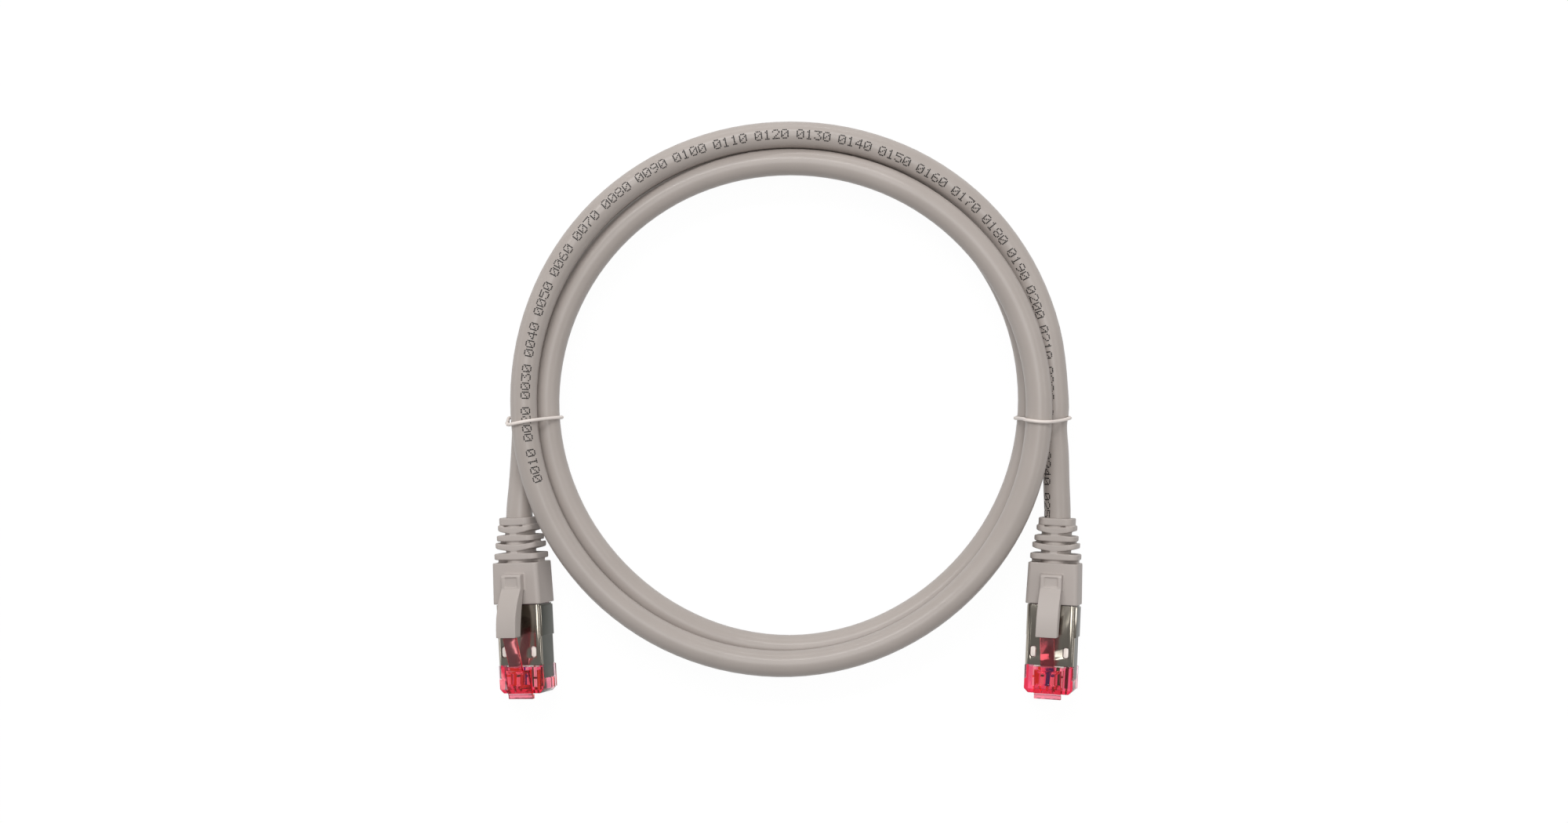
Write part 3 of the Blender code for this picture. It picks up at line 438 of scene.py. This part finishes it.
def bandSection(band, turns):
    # a tight loop round all the turns: how far out, how high, and 1 on its upper run or -1 on its lower
    reach = cableRadius + bands["clearance"] + bands["thickness"] / 2
    section = []
    for i in range(bands["points"]):
        angle = math.tau * (i + 0.5) / bands["points"]
        out, up = math.cos(angle), math.sin(angle)
        radius, height = max(turns, key=lambda turn: turn[0] * out + turn[1] * up)
        slack = band["slack"] * max(out, 0) ** bands["slackPower"]
        side = math.tanh(bands["flipRate"] * up)
        section.append(Vector((radius + reach * out + slack, height + reach * up, side)))
    return section


def bandLoop(band):
    angle = math.radians(band["angle"])
    outward = Vector((math.sin(angle), math.cos(angle), 0))
    forward = Vector((math.cos(angle), -math.sin(angle), 0))
    centre = Vector((*cable["centre"], 0))
    section = bandSection(band, turnsAt(centre, outward, forward))
    low, high = min(p.x for p in section), max(p.x for p in section)
    points = []
    for here, there in zip(section, section[1:] + section[:1]):
        # a straight stretch from one turn to the next is cut into short steps
        straight = abs(there.z - here.z) < bands["sameSide"]
        steps = max(1, round((there - here).length / bands["straightStep"])) if straight else 1
        for k in range(steps):
            out, up, side = here.lerp(there, k / steps)
            inward = (high - out) / (high - low)
            slant = band["skew"] * (1 - inward) + band["sag"] * 4 * inward * (1 - inward)
            point = centre + outward * out + forward * (band["lean"] * inward - slant * side)
            point.z = max(up, bands["thickness"] / 2)
            points.append(point)
    return points


for node in ("tie_band_left", "tie_band_right"):
    name = node.replace("tie_", "") + "_cord"
    band = tube(name, bandLoop(bands[node]), bands["thickness"], bands["sides"], closed=True)
    paint(band, bandSilicone)
    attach(band, "cable")
    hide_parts(node)


# Pieces of a plug are drawn in millimetres in the plug's own frame, and set in place at the end

def addBlock(name, x, y, z):
    low, high = Vector((x[0], y[0], z[0])), Vector((x[1], y[1], z[1]))
    bpy.ops.object.select_all(action="DESELECT")
    bpy.ops.mesh.primitive_cube_add(size=1, location=(low + high) / 2, scale=high - low)
    bpy.ops.object.transform_apply(location=True, rotation=False, scale=True)
    return named(name)


def addRod(name, radius, y, sides):
    bpy.ops.object.select_all(action="DESELECT")
    bpy.ops.mesh.primitive_cylinder_add(vertices=sides, radius=radius, depth=y[1] - y[0],
                                        location=(0, (y[0] + y[1]) / 2, 0), rotation=(math.pi / 2, 0, 0))
    bpy.ops.object.transform_apply(location=True, rotation=True, scale=True)
    return named(name)


def addProfile(name, outline, x):
    # a side outline of (y, z) points, extruded across the plug
    mesh = bpy.data.meshes.new(name)
    mesh.from_pydata([(x[0], y, z) for y, z in outline], [], [range(len(outline))])
    made = bpy.data.objects.new(name, mesh)
    bpy.context.collection.objects.link(made)
    focus(made)
    bpy.ops.object.mode_set(mode="EDIT")
    bpy.ops.mesh.select_all(action="SELECT")
    bpy.ops.mesh.extrude_region_move(TRANSFORM_OT_translate={"value": (x[1] - x[0], 0, 0)})
    bpy.ops.mesh.select_all(action="SELECT")
    bpy.ops.mesh.normals_make_consistent(inside=False)
    bpy.ops.object.mode_set(mode="OBJECT")
    return made


def selectEdges(obj, test):
    # picks the edges whose two ends pass the test
    focus(obj)
    bpy.ops.object.mode_set(mode="EDIT")
    bpy.ops.mesh.select_mode(type="EDGE")
    bpy.ops.mesh.select_all(action="DESELECT")
    bpy.ops.object.mode_set(mode="OBJECT")
    places = [v.co for v in obj.data.vertices]
    for edge in obj.data.edges:
        edge.select = test(places[edge.vertices[0]], places[edge.vertices[1]])
    bpy.ops.object.mode_set(mode="EDIT")


def roundEdges(obj, test, width, segments):
    selectEdges(obj, test)
    bpy.ops.mesh.bevel(offset=width, segments=segments, profile=0.5, affect="EDGES")
    bpy.ops.object.mode_set(mode="OBJECT")
    return obj


def divided(obj, test, cuts):
    selectEdges(obj, test)
    bpy.ops.mesh.subdivide(number_cuts=cuts)
    bpy.ops.object.mode_set(mode="OBJECT")
    return obj


def anyEdge(a, b):
    return True


def atOneDepth(a, b):
    return abs(a.y - b.y) < nearly


def runsAlong(axis):
    # for edges that are nearly parallel to this axis
    return lambda a, b: abs((b - a)[axis]) > 0.9 * (b - a).length


def around(middle, size):
    return (middle - size / 2, middle + size / 2)


def boolean(obj, other, operation):
    applyModifier(obj, "BOOLEAN", operation=operation, object=other, solver="EXACT")
    bpy.data.objects.remove(other)
    return obj


def joined(objs, name):
    bpy.ops.object.select_all(action="DESELECT")
    for obj in objs:
        obj.select_set(True)
    bpy.context.view_layer.objects.active = objs[0]
    bpy.ops.object.join()
    return named(name)


def copied(obj, name):
    made = obj.copy()
    made.data = obj.data.copy()
    made.name = made.data.name = name
    bpy.context.collection.objects.link(made)
    return made


def seat(obj, key):
    # to real size and into the plug's place, with the object left at the origin
    obj.data.transform(plugs[key] @ Matrix.Scale(mm, 4))
    obj.data.update()
    return obj


# Ink-jet print along the outer turn: a plain number at every centimetre of its own scale, five dots by seven
marks = {
    "fromAngle": 611, "toEnd": 5 * mm, "every": 10 * mm, "step": 10, "digits": 4,
    "dotRadius": 0.18 * mm, "dotSides": 6, "dotEdge": 0.01 * mm,
    "columnPitch": 0.37 * mm, "rowPitch": 0.325 * mm, "digitPitch": 2.1 * mm,
    "thickness": 0.06 * mm, "lift": 0.02 * mm,
    # how far the print has turned round the cable from its top, outwards positive, at angles of the coil
    "turned": ((611, -17), (640, -11), (660, 0), (690, 3), (705, -6), (720, -1), (735, -8), (750, -13),
               (765, -8), (780, -13), (795, -20), (810, -33), (870, -62)),
    # from the top row down, with 1 for a dot
    "rows": {
        "0": "01110 10001 10011 10101 11001 10001 01110",
        "1": "00100 01100 00100 00100 00100 00100 01110",
        "2": "01110 10001 00001 00010 00100 01000 11111",
        "3": "11111 00010 00100 00010 00001 10001 01110",
        "4": "00010 00110 01010 10010 11111 00010 00010",
        "5": "11111 10000 11110 00001 00001 10001 01110",
        "6": "00110 01000 10000 11110 10001 10001 01110",
        "7": "11111 00001 00010 00100 01000 01000 01000",
        "8": "01110 10001 10001 01110 10001 10001 01110",
        "9": "01110 10001 10001 01111 00001 00010 01100",
    },
    "middleRow": 3,
}
stepAngle = pointAngle / cable["stepsBetween"]
coilFirst = (len(cable["inBoot"]) + len(cable["tails"]["a"])) * cable["stepsBetween"]


def runAlong(points):
    # the distance from the start of a line to each of its points
    run = [0.0]
    for here, there in zip(points, points[1:]):
        run.append(run[-1] + (there - here).length)
    return run


def printTurn(angle):
    # how far the print has turned round the cable at this angle of the coil
    for (a, low), (b, high) in zip(marks["turned"], marks["turned"][1:]):
        if angle <= b:
            break
    share = min(1, max(0, (angle - a) / (b - a)))
    return math.radians(low + (high - low) * share)


def cableAt(run, distance):
    # the cable's middle at this distance along it, its ways ahead, out and up, and the print's turn
    i = next(k for k in range(len(run) - 1) if run[k + 1] >= distance)
    share = (distance - run[i]) / (run[i + 1] - run[i])
    ahead = (route[min(i + 2, len(route) - 1)] - route[i - 1]).normalized()
    outward = Vector((0, 0, 1)).cross(ahead).normalized()
    turned = printTurn(cable["startAngle"] + (i + share - coilFirst) * stepAngle)
    return route[i].lerp(route[i + 1], share), ahead, outward, ahead.cross(outward), turned


def inkedSpots(text):
    # how far along the print, and how far above its middle, each dot of the text lies
    for index, digit in enumerate(text):
        for row, line in enumerate(marks["rows"][digit].split()):
            for column, dot in enumerate(line):
                if dot == "1":
                    yield (index * marks["digitPitch"] + column * marks["columnPitch"],
                           (marks["middleRow"] - row) * marks["rowPitch"])


def makeMarks():
    bpy.ops.object.select_all(action="DESELECT")
    bpy.ops.mesh.primitive_cylinder_add(vertices=marks["dotSides"], radius=marks["dotRadius"],
                                        depth=marks["thickness"])
    dot = roundEdges(named("inkDot"), lambda a, b: min(a.z, b.z) > 0, marks["dotEdge"], 1)
    dotPoints = [vertex.co.copy() for vertex in dot.data.vertices]
    dotFaces = [tuple(face.vertices) for face in dot.data.polygons]
    bpy.data.objects.remove(dot)
    run = runAlong(route)
    first = run[coilFirst + round((marks["fromAngle"] - cable["startAngle"]) / stepAngle)]
    last = run[-1] - (cable["inBoot"][-1] - cable["inBoot"][0]) * mm - marks["toEnd"]
    dotHeight = cableRadius + cable["skin"] + marks["lift"] - marks["thickness"] / 2
    points, faces = [], []
    for number in range(math.ceil((last - first) / marks["every"])):
        text = str((number + 1) * marks["step"]).zfill(marks["digits"])
        for along, above in inkedSpots(text):
            middle, ahead, outward, up, turned = cableAt(run, first + number * marks["every"] + along)
            turn = turned + above / cableRadius
            normal = math.cos(turn) * up + math.sin(turn) * outward
            aside = math.cos(turn) * outward - math.sin(turn) * up
            centre = middle + dotHeight * normal
            faces += [tuple(len(points) + v for v in face) for face in dotFaces]
            points += [centre + p.x * ahead + p.y * aside + p.z * normal for p in dotPoints]
    mesh = bpy.data.meshes.new("scaleMarks")
    mesh.from_pydata(points, [], faces)
    made = bpy.data.objects.new("scaleMarks", mesh)
    bpy.context.collection.objects.link(made)
    return made


scaleMarks = makeMarks()
paint(scaleMarks, markInk)
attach(scaleMarks, "cable")
print("cable, bands and print laid")


# Boot: moulded in one piece with its ribs and the tongue over the latch
boot = {
    "front": {"y": 21.25, "width": 12.55, "height": 8.3},
    "rear": {"y": 31.05, "width": 12.0, "height": 8.2},
    "corner": 1.0,
    "edge": 0.1,
    "block": {"y": (24.6, 28.45), "z": (2.0, 6.1), "width": 5.1, "shoulder": 0.8},
    "recess": {"y": (25.45, 27.7), "width": 3.2, "depth": 0.32},
    # five ribs, from the body to the cable
    "ribWidths": (11.6, 10.78, 9.95, 9.13, 8.3),
    "ribHeights": (8.1, 8.0, 7.9, 7.8, 7.7),
    "ribThickness": (1.5, 1.4, 1.4, 1.4, 1.75),
    "ribShift": (0.0, 0.0, -0.05, -0.2, -0.25),
    "ribBow": (0.15, 0.5, 0.15, 0.5, 0.1),
    "ribPitch": 2.17,
    "ribCorner": 1.8,
    "ribEdge": 0.22,
    "ribStrips": 12,
    "ribSwell": 0.26,
    "swellFade": 1.5,
    "core": {"radius": 3.6, "intoBody": 1, "endGap": 0.3, "sides": 48},
    "boreRadius": 3.25,
    "overlap": 0.5,
    # by turns a web at each side of the boot, and one above and one below
    "sideWeb": {"from": 3.3, "toRim": 0.3, "height": 3.0},
    "topWeb": {"from": 3.0, "toRim": 0.08, "width": 1.7, "flare": 1.9, "cuts": 3},
    "voxel": 0.13,
    "creaseAngle": 40,
}
tongue = {
    "tip": {"y": 13.8, "top": 9.9, "low": 7.1},
    "root": {"y": 25.05, "low": 4.5},
    "topCurl": 2.3, "lowCurl": 1.4, "steps": 26, "corner": 0.25,
    "channel": {"width": 3.9, "end": 18.6, "steps": 6, "skin": 0.8},
    # the moulding bends between these two distances from the hinge, measured up this way
    "bend": {"hinge": (0, 24.9, 4.9), "way": (0, -0.2, 0.98), "start": 1.2, "end": 2.2},
}
ribCount = len(boot["ribWidths"])


def ribEnd(k):
    return boot["rear"]["y"] + boot["ribPitch"] * (k + 1) + boot["ribShift"][k]


def tongueTop(y):
    # falls in a curve from the tip to the top of the block
    tip, rootTop = tongue["tip"], boot["block"]["z"][1]
    along = max(0.0, y - tip["y"]) / (tongue["root"]["y"] - tip["y"])
    return tip["top"] - (tip["top"] - rootTop) * along ** tongue["topCurl"]


def makeTongue():
    # a bar of unit height, whose top and underside are then drawn to their curves
    tip, root, channel = tongue["tip"], tongue["root"], tongue["channel"]
    made = addBlock("tongue", around(0, boot["block"]["width"]), (tip["y"], root["y"]), (0, 1))
    divided(made, runsAlong(1), tongue["steps"] - 1)
    for vertex in made.data.vertices:
        along = max(0.0, (vertex.co.y - tip["y"]) / (root["y"] - tip["y"]))
        low = tip["low"] + (root["low"] - tip["low"]) * along ** tongue["lowCurl"]
        vertex.co.z = tongueTop(vertex.co.y) if vertex.co.z > 0.5 else low
    roundEdges(made, lambda a, b: runsAlong(2)(a, b) and max(a.y, b.y) < tip["y"] + nearly,
               tongue["corner"], 3)
    # a channel under it, from the tip back, leaves a skin of even thickness
    start, length = tip["y"], channel["end"] - tip["y"]
    depths = [start - runOut] + [start + length * k / channel["steps"] for k in range(channel["steps"] + 1)]
    under = [(y, tongueTop(y) - channel["skin"]) for y in depths]
    under += [(channel["end"], 0), (start - runOut, 0)]
    return boolean(made, addProfile("channel", under, around(0, channel["width"])), "DIFFERENCE")


def makeRib(k):
    width, height = boot["ribWidths"][k], boot["ribHeights"][k]
    y = (ribEnd(k) - boot["ribThickness"][k], ribEnd(k))
    rib = addBlock("rib", around(0, width), y, around(0, height))
    roundEdges(rib, runsAlong(1), boot["ribCorner"], 6)
    roundEdges(rib, atOneDepth, boot["ribEdge"], 2)
    focus(rib)
    bpy.ops.object.mode_set(mode="EDIT")
    for cut in range(1, boot["ribStrips"]):
        bpy.ops.mesh.select_all(action="SELECT")
        bpy.ops.mesh.bisect(plane_co=(width * (cut / boot["ribStrips"] - 0.5), 0, 0), plane_no=(1, 0, 0))
    bpy.ops.object.mode_set(mode="OBJECT")
    # bowed, and thicker in the middle of the face that a top web joins: that is the front of an odd rib
    # and the back of an even one, apart from the last
    webFace = -1 if k % 2 else (1 if k < ribCount - 1 else 0)
    for vertex in rib.data.vertices:
        share = abs(2 * vertex.co.x / width)
        if (vertex.co.y - sum(y) / 2) * webFace > 0:
            vertex.co.y += webFace * boot["ribSwell"] * (1 - boot["swellFade"] * share)
        vertex.co.y += boot["ribBow"][k] * share ** 2
    return rib


def makeWeb(k, side):
    # joins rib k to what is in front of it
    front = ribEnd(k - 1) if k else boot["rear"]["y"]
    y = (front - boot["overlap"], ribEnd(k) - boot["ribThickness"][k] + boot["overlap"])
    if k % 2 == 0:
        web = boot["sideWeb"]
        x = sorted((side * web["from"], side * (boot["ribWidths"][k] / 2 - web["toRim"])))
        return addBlock("web", x, y, around(0, web["height"]))
    web = boot["topWeb"]
    z = sorted((side * web["from"], side * (boot["ribHeights"][k] / 2 - web["toRim"])))
    made = divided(addBlock("web", around(0, web["width"]), y, z), runsAlong(1), web["cuts"])
    # it flares into the ribs at both ends
    middle, half = sum(y) / 2, (y[1] - y[0]) / 2
    for vertex in made.data.vertices:
        vertex.co.x *= 1 + web["flare"] * (abs(vertex.co.y - middle) / half) ** 3
    return made


def makeBody():
    front, rear = boot["front"], boot["rear"]
    body = addBlock("bootBody", around(0, front["width"]), (front["y"], rear["y"]),
                    around(0, front["height"]))
    for vertex in body.data.vertices:
        if vertex.co.y > rear["y"] - nearly:
            vertex.co.x *= rear["width"] / front["width"]
            vertex.co.z *= rear["height"] / front["height"]
    roundEdges(body, runsAlong(1), boot["corner"], 5)
    return roundEdges(body, atOneDepth, boot["edge"], 2)


def makeBlock():
    block, recess = boot["block"], boot["recess"]
    top, end = block["z"][1], block["y"][1]
    pad = addBlock("block", around(0, block["width"]), block["y"], block["z"])
    roundEdges(pad, lambda a, b: runsAlong(0)(a, b) and a.z > top - nearly and a.y > end - nearly,
               block["shoulder"], 4)
    sunk = addBlock("recess", around(0, recess["width"]), recess["y"],
                    (top - recess["depth"], top + runOut))
    return boolean(pad, sunk, "DIFFERENCE")


def makeBoot():
    core, end = boot["core"], ribEnd(ribCount - 1)
    start = boot["rear"]["y"] - core["intoBody"]
    pieces = [makeBody(), makeBlock(), makeTongue()]
    pieces.append(addRod("core", core["radius"], (start, end - core["endGap"]), core["sides"]))
    pieces += [makeRib(k) for k in range(ribCount)]
    pieces += [makeWeb(k, side) for k in range(ribCount) for side in (-1, 1)]
    made = joined(pieces, "boot")
    applyModifier(made, "REMESH", mode="VOXEL", voxel_size=boot["voxel"], adaptivity=0.0)
    applyModifier(made, "SMOOTH", factor=0.5, iterations=2)
    bore = addRod("cableBore", boot["boreRadius"], (start, end + runOut), core["sides"])
    boolean(made, bore, "DIFFERENCE")
    return smoothed(made, boot["creaseAngle"])


bootMould = makeBoot()
print("boot moulded:", len(bootMould.data.polygons), "faces")
for key in plugKeys:
    made = seat(copied(bootMould, f"bootMoulding_{key}"), key)
    paint(made, bootRubber)
    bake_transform(made)
    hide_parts(f"boot_{key}", f"boot_tongue_{key}")
bpy.data.objects.remove(bootMould)
print("boots done")


# Shell: drawn sheet round the body, with a tab along each side of the nose and a raised panel behind it
plugCrease = 35  # degrees, past which an edge of a plug's piece stays sharp
shell = {
    "height": 7.4, "wall": 0.3, "corner": 1.15, "cornerSteps": 8, "edge": 0.07, "edgeAngle": 50,
    "front": 3.5, "sleeveFront": 6.75, "rear": 21.05, "tabHeight": 4.9,
    "panel": {"y": (13.55, 20.75), "z": {-1: (-3.0, 1.4), 1: (-3.0, 3.0)}, "rise": 0.28, "root": 0.25,
              "edge": 0.12},
    "window": {"x": 3.93, "y": 9.9, "width": 1.5, "length": 2.7, "corner": 0.6},
}


def makeShell():
    height, wall, corner, window = (shell[key] for key in ("height", "wall", "corner", "window"))
    panel, flank = shell["panel"], plugWidth / 2
    front, rear = shell["front"], shell["rear"]
    made = addBlock("shell", around(0, plugWidth), (front, rear), around(0, height))
    roundEdges(made, runsAlong(1), corner, shell["cornerSteps"])
    for side in (-1, 1):
        x = sorted((side * (flank - panel["root"]), side * (flank + panel["rise"])))
        raised = addBlock("panel", x, panel["y"], panel["z"][side])
        roundEdges(raised, lambda a, b: min(abs(a.x), abs(b.x)) > flank, panel["edge"], 2)
        boolean(made, raised, "UNION")
    inside = addBlock("inside", around(0, plugWidth - 2 * wall), (front - runOut, rear + runOut),
                      around(0, height - 2 * wall))
    roundEdges(inside, runsAlong(1), corner - wall, shell["cornerSteps"])
    boolean(made, inside, "DIFFERENCE")
    for side in (-1, 1):
        # above and below the tabs the sheet starts behind the nose
        trim = addBlock("trim", around(0, 2 * plugWidth), (front - runOut, shell["sleeveFront"]),
                        sorted((side * shell["tabHeight"] / 2, side * height)))
        boolean(made, trim, "DIFFERENCE")
        hole = addBlock("hole", around(side * window["x"], window["width"]),
                        around(window["y"], window["length"]), (height / 2 - runOut, height / 2 + runOut))
        roundEdges(hole, runsAlong(2), window["corner"], 4)
        boolean(made, hole, "DIFFERENCE")
    applyModifier(made, "BEVEL", width=shell["edge"], segments=2, limit_method="ANGLE",
                  angle_limit=math.radians(shell["edgeAngle"]))
    return smoothed(made, plugCrease)


# Housing: one moulding with the nose, the body in the shell and the neck in the boot
housing = {
    "nose": {"height": 6.6, "length": 6.6, "chamfer": 1.0, "edge": 0.18},
    "flange": {"width": 12.2, "y": (1.1, 6.55), "z": (-3.27, -2.72), "edge": 0.08},
    "body": {"width": 10.78, "height": 6.5, "end": 21.05},
    "neck": {"width": 10.6, "height": 6.2, "end": 24.05},
    "corner": 0.5, "overlap": 0.4,
    "rebate": {"y": (3.35, 6.9), "height": 5.2},
    "throat": {"width": 9.78, "height": 5.1, "start": 6.2},
    "wireRoom": {"width": 9.78, "y": (0.95, 6.5), "z": (-1.38, 0.9)},
    "slot": {"count": 8, "pitch": 1.02, "width": 0.5, "back": 5.35, "shelf": -2.0, "start": 0.9, "into": 0.1},
}


def makeNose():
    nose, flange = housing["nose"], housing["flange"]
    made = addBlock("housing", around(0, plugWidth), (0, nose["length"]), around(0, nose["height"]))

    def beforeEnd(a, b):
        return min(a.y, b.y) < nose["length"] - nearly

    roundEdges(made, lambda a, b: runsAlong(2)(a, b) and a.y < nearly, nose["chamfer"], 1)
    roundEdges(made, beforeEnd, nose["edge"], 2)
    ledge = addBlock("flange", around(0, flange["width"]), flange["y"], flange["z"])
    roundEdges(ledge, beforeEnd, flange["edge"], 2)
    return boolean(made, ledge, "UNION")


def makeHousing():
    nose, body, neck, slot = (housing[key] for key in ("nose", "body", "neck", "slot"))
    rebate, throat, wireRoom = (housing[key] for key in ("rebate", "throat", "wireRoom"))
    made = makeNose()
    for part, front in ((body, nose["length"]), (neck, body["end"])):
        block = addBlock("section", around(0, part["width"]), (front - housing["overlap"], part["end"]),
                         around(0, part["height"]))
        roundEdges(block, runsAlong(1), housing["corner"], 4)
        boolean(made, block, "UNION")
    for side in (-1, 1):
        x = sorted((side * body["width"] / 2, side * plugWidth))
        boolean(made, addBlock("rebate", x, rebate["y"], around(0, rebate["height"])), "DIFFERENCE")
    hollow = addBlock("throat", around(0, throat["width"]), (throat["start"], neck["end"] + runOut),
                      around(0, throat["height"]))
    boolean(made, hollow, "DIFFERENCE")
    hollow = addBlock("wireRoom", around(0, wireRoom["width"]), wireRoom["y"], wireRoom["z"])
    boolean(made, hollow, "DIFFERENCE")
    # each slot opens at the front and below, and reaches up into the wires' room behind its shelf
    below, top = -nose["height"], wireRoom["z"][0] + slot["into"]
    outline = ((-runOut, below), (slot["back"], below), (slot["back"], top), (slot["start"], top),
               (slot["start"], slot["shelf"]), (-runOut, slot["shelf"]))
    for i in range(slot["count"]):
        middle = (i - (slot["count"] - 1) / 2) * slot["pitch"]
        boolean(made, addProfile("slot", outline, around(middle, slot["width"])), "DIFFERENCE")
    return smoothed(made, plugCrease)


# The bosses that fill the shell's two windows, and the ledge that stops its front edge
boss = {"gap": 0.15, "corner": 0.5, "z": (2.95, 3.6), "crown": 0.12,
        "ledge": {"width": 7.0, "y": (6.42, 6.72), "z": (3.2, 3.42), "edge": 0.06}}


def makeBosses():
    window, ledge, top = shell["window"], boss["ledge"], boss["z"][1]
    pieces = []
    for side in (-1, 1):
        pad = addBlock("boss", around(side * window["x"], window["width"] - 2 * boss["gap"]),
                       around(window["y"], window["length"] - 2 * boss["gap"]), boss["z"])
        roundEdges(pad, runsAlong(2), boss["corner"], 4)
        roundEdges(pad, lambda a, b: min(a.z, b.z) > top - nearly, boss["crown"], 2)
        pieces.append(pad)
    stop = addBlock("ledge", around(0, ledge["width"]), ledge["y"], ledge["z"])
    pieces.append(roundEdges(stop, anyEdge, ledge["edge"], 2))
    return smoothed(joined(pieces, "bosses"), plugCrease)


# Latch: a sloping head over the nose, with a lip in front and a lever back under the tongue
latch = {
    # outlines in depth and height: the head's from the lip back and round, the lever's from the head back
    "head": {"width": 6.4, "edge": 0.12,
             "underside": ((-1.25, 2.9), (-0.2, 2.9), (-0.2, 3.45), (5.7, 4.4)),
             "top": ((5.7, 5.33), (2.3, 4.655), (-1.25, 3.95))},
    "pocket": {"width": 5.7, "y": (2.3, 4.9), "depth": 0.14},
    "studs": {"x": 1.25, "y": 0.5, "radius": 0.24, "height": 0.16, "segments": 16, "rings": 8},
    "lever": {"width": 3.3, "edge": 0.15,
              "top": ((4.75, 5.04), (5.7, 5.75), (13.2, 8.2), (15.8, 8.65)),
              "underside": ((15.8, 7.7), (13.2, 7.25), (5.7, 4.8), (4.75, 4.5))},
}


def headTop(y):
    # on the straight line from the top of the lip to the back of the head
    (backY, backZ), (lipY, lipZ) = latch["head"]["top"][0], latch["head"]["top"][-1]
    return lipZ + (backZ - lipZ) / (backY - lipY) * (y - lipY)


def makeLatch():
    head, pocket, studs, lever = (latch[key] for key in ("head", "pocket", "studs", "lever"))
    made = addProfile("latch", head["underside"] + head["top"], around(0, head["width"]))
    roundEdges(made, anyEdge, head["edge"], 2)
    sunkFloor = [(y, headTop(y) - pocket["depth"]) for y in pocket["y"]]
    overHead = [(y, headTop(y) + runOut) for y in reversed(pocket["y"])]
    sunk = addProfile("pocket", sunkFloor + overHead, around(0, pocket["width"]))
    boolean(made, sunk, "DIFFERENCE")
    arm = addProfile("lever", lever["top"] + lever["underside"], around(0, lever["width"]))
    roundEdges(arm, anyEdge, lever["edge"], 2)
    boolean(made, arm, "UNION")
    for side in (-1, 1):
        bpy.ops.object.select_all(action="DESELECT")
        bpy.ops.mesh.primitive_uv_sphere_add(segments=studs["segments"], ring_count=studs["rings"],
                                             radius=studs["radius"],
                                             location=(side * studs["x"], studs["y"], headTop(studs["y"])),
                                             scale=(1, 1, studs["height"] / studs["radius"]))
        bpy.ops.object.transform_apply(location=True, rotation=False, scale=True)
        boolean(made, named("stud"), "UNION")
    return smoothed(made, plugCrease)


def fitToPlugs(mould, name, node, material, body="cable"):
    # one copy for each plug, riding its body and standing for the CAD node, if there is one
    for key in plugKeys:
        made = seat(copied(mould, f"{name}_{key}"), key)
        paint(made, material)
        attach(made, body.format(key=key))
        if node:
            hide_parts(f"{node}_{key}")
    bpy.data.objects.remove(mould)


def paintSidesDark(key, tolerance=0.05, squareness=0.9):
    # the flat sides of a shell, with their panels, get the duller copy whose darker colour is a painted dark
    # reflection
    cover = bpy.data.objects[f"shieldCover_{key}"]
    cover.data.materials.append(nickelSidePaintedDark)
    across = plugs[key].to_3x3().col[0]
    toPlug = plugs[key].inverted()
    for face in cover.data.polygons:
        outside = abs((toPlug @ face.center).x) > (plugWidth / 2 - tolerance) * mm
        face.material_index = 1 if outside and abs(face.normal.dot(across)) > squareness else 0


fitToPlugs(makeShell(), "shieldCover", "shield_shell", nickelShell)
# each shell's flat sides take the darker nickel, a painted dark reflection
for key in plugKeys:
    paintSidesDark(key)
fitToPlugs(makeHousing(), "clearHousing", "plug_housing", redClear)
fitToPlugs(makeBosses(), "windowBosses", None, bossMilky)
fitToPlugs(makeLatch(), "clearLatch", "latch", latchClear, "latch_{key}")
print("plugs done")


# The CAD nodes that stay: contacts, wires and what lies under the shells, the boots and the jacket
finishes = {"braid_shield": braidMetal}
finishes.update({f"foil_pair_{pair}": foilMetal for pair in wireColours})
for key in plugKeys:
    finishes[f"load_bar_{key}"] = barClear
    finishes[f"crimp_collar_{key}"] = crimpMetal
    for i, pair in enumerate(wireOrder):
        finishes[f"contact_{key}_{i + 1}"] = goldPlate
        finishes[f"wire_{key}_{i + 1}"] = (markedWires if i % 2 == 0 else solidWires)[pair]
for node, material in finishes.items():
    for holder in bpy.data.objects[node].material_slots:
        holder.material = material
print("inner pieces finished")
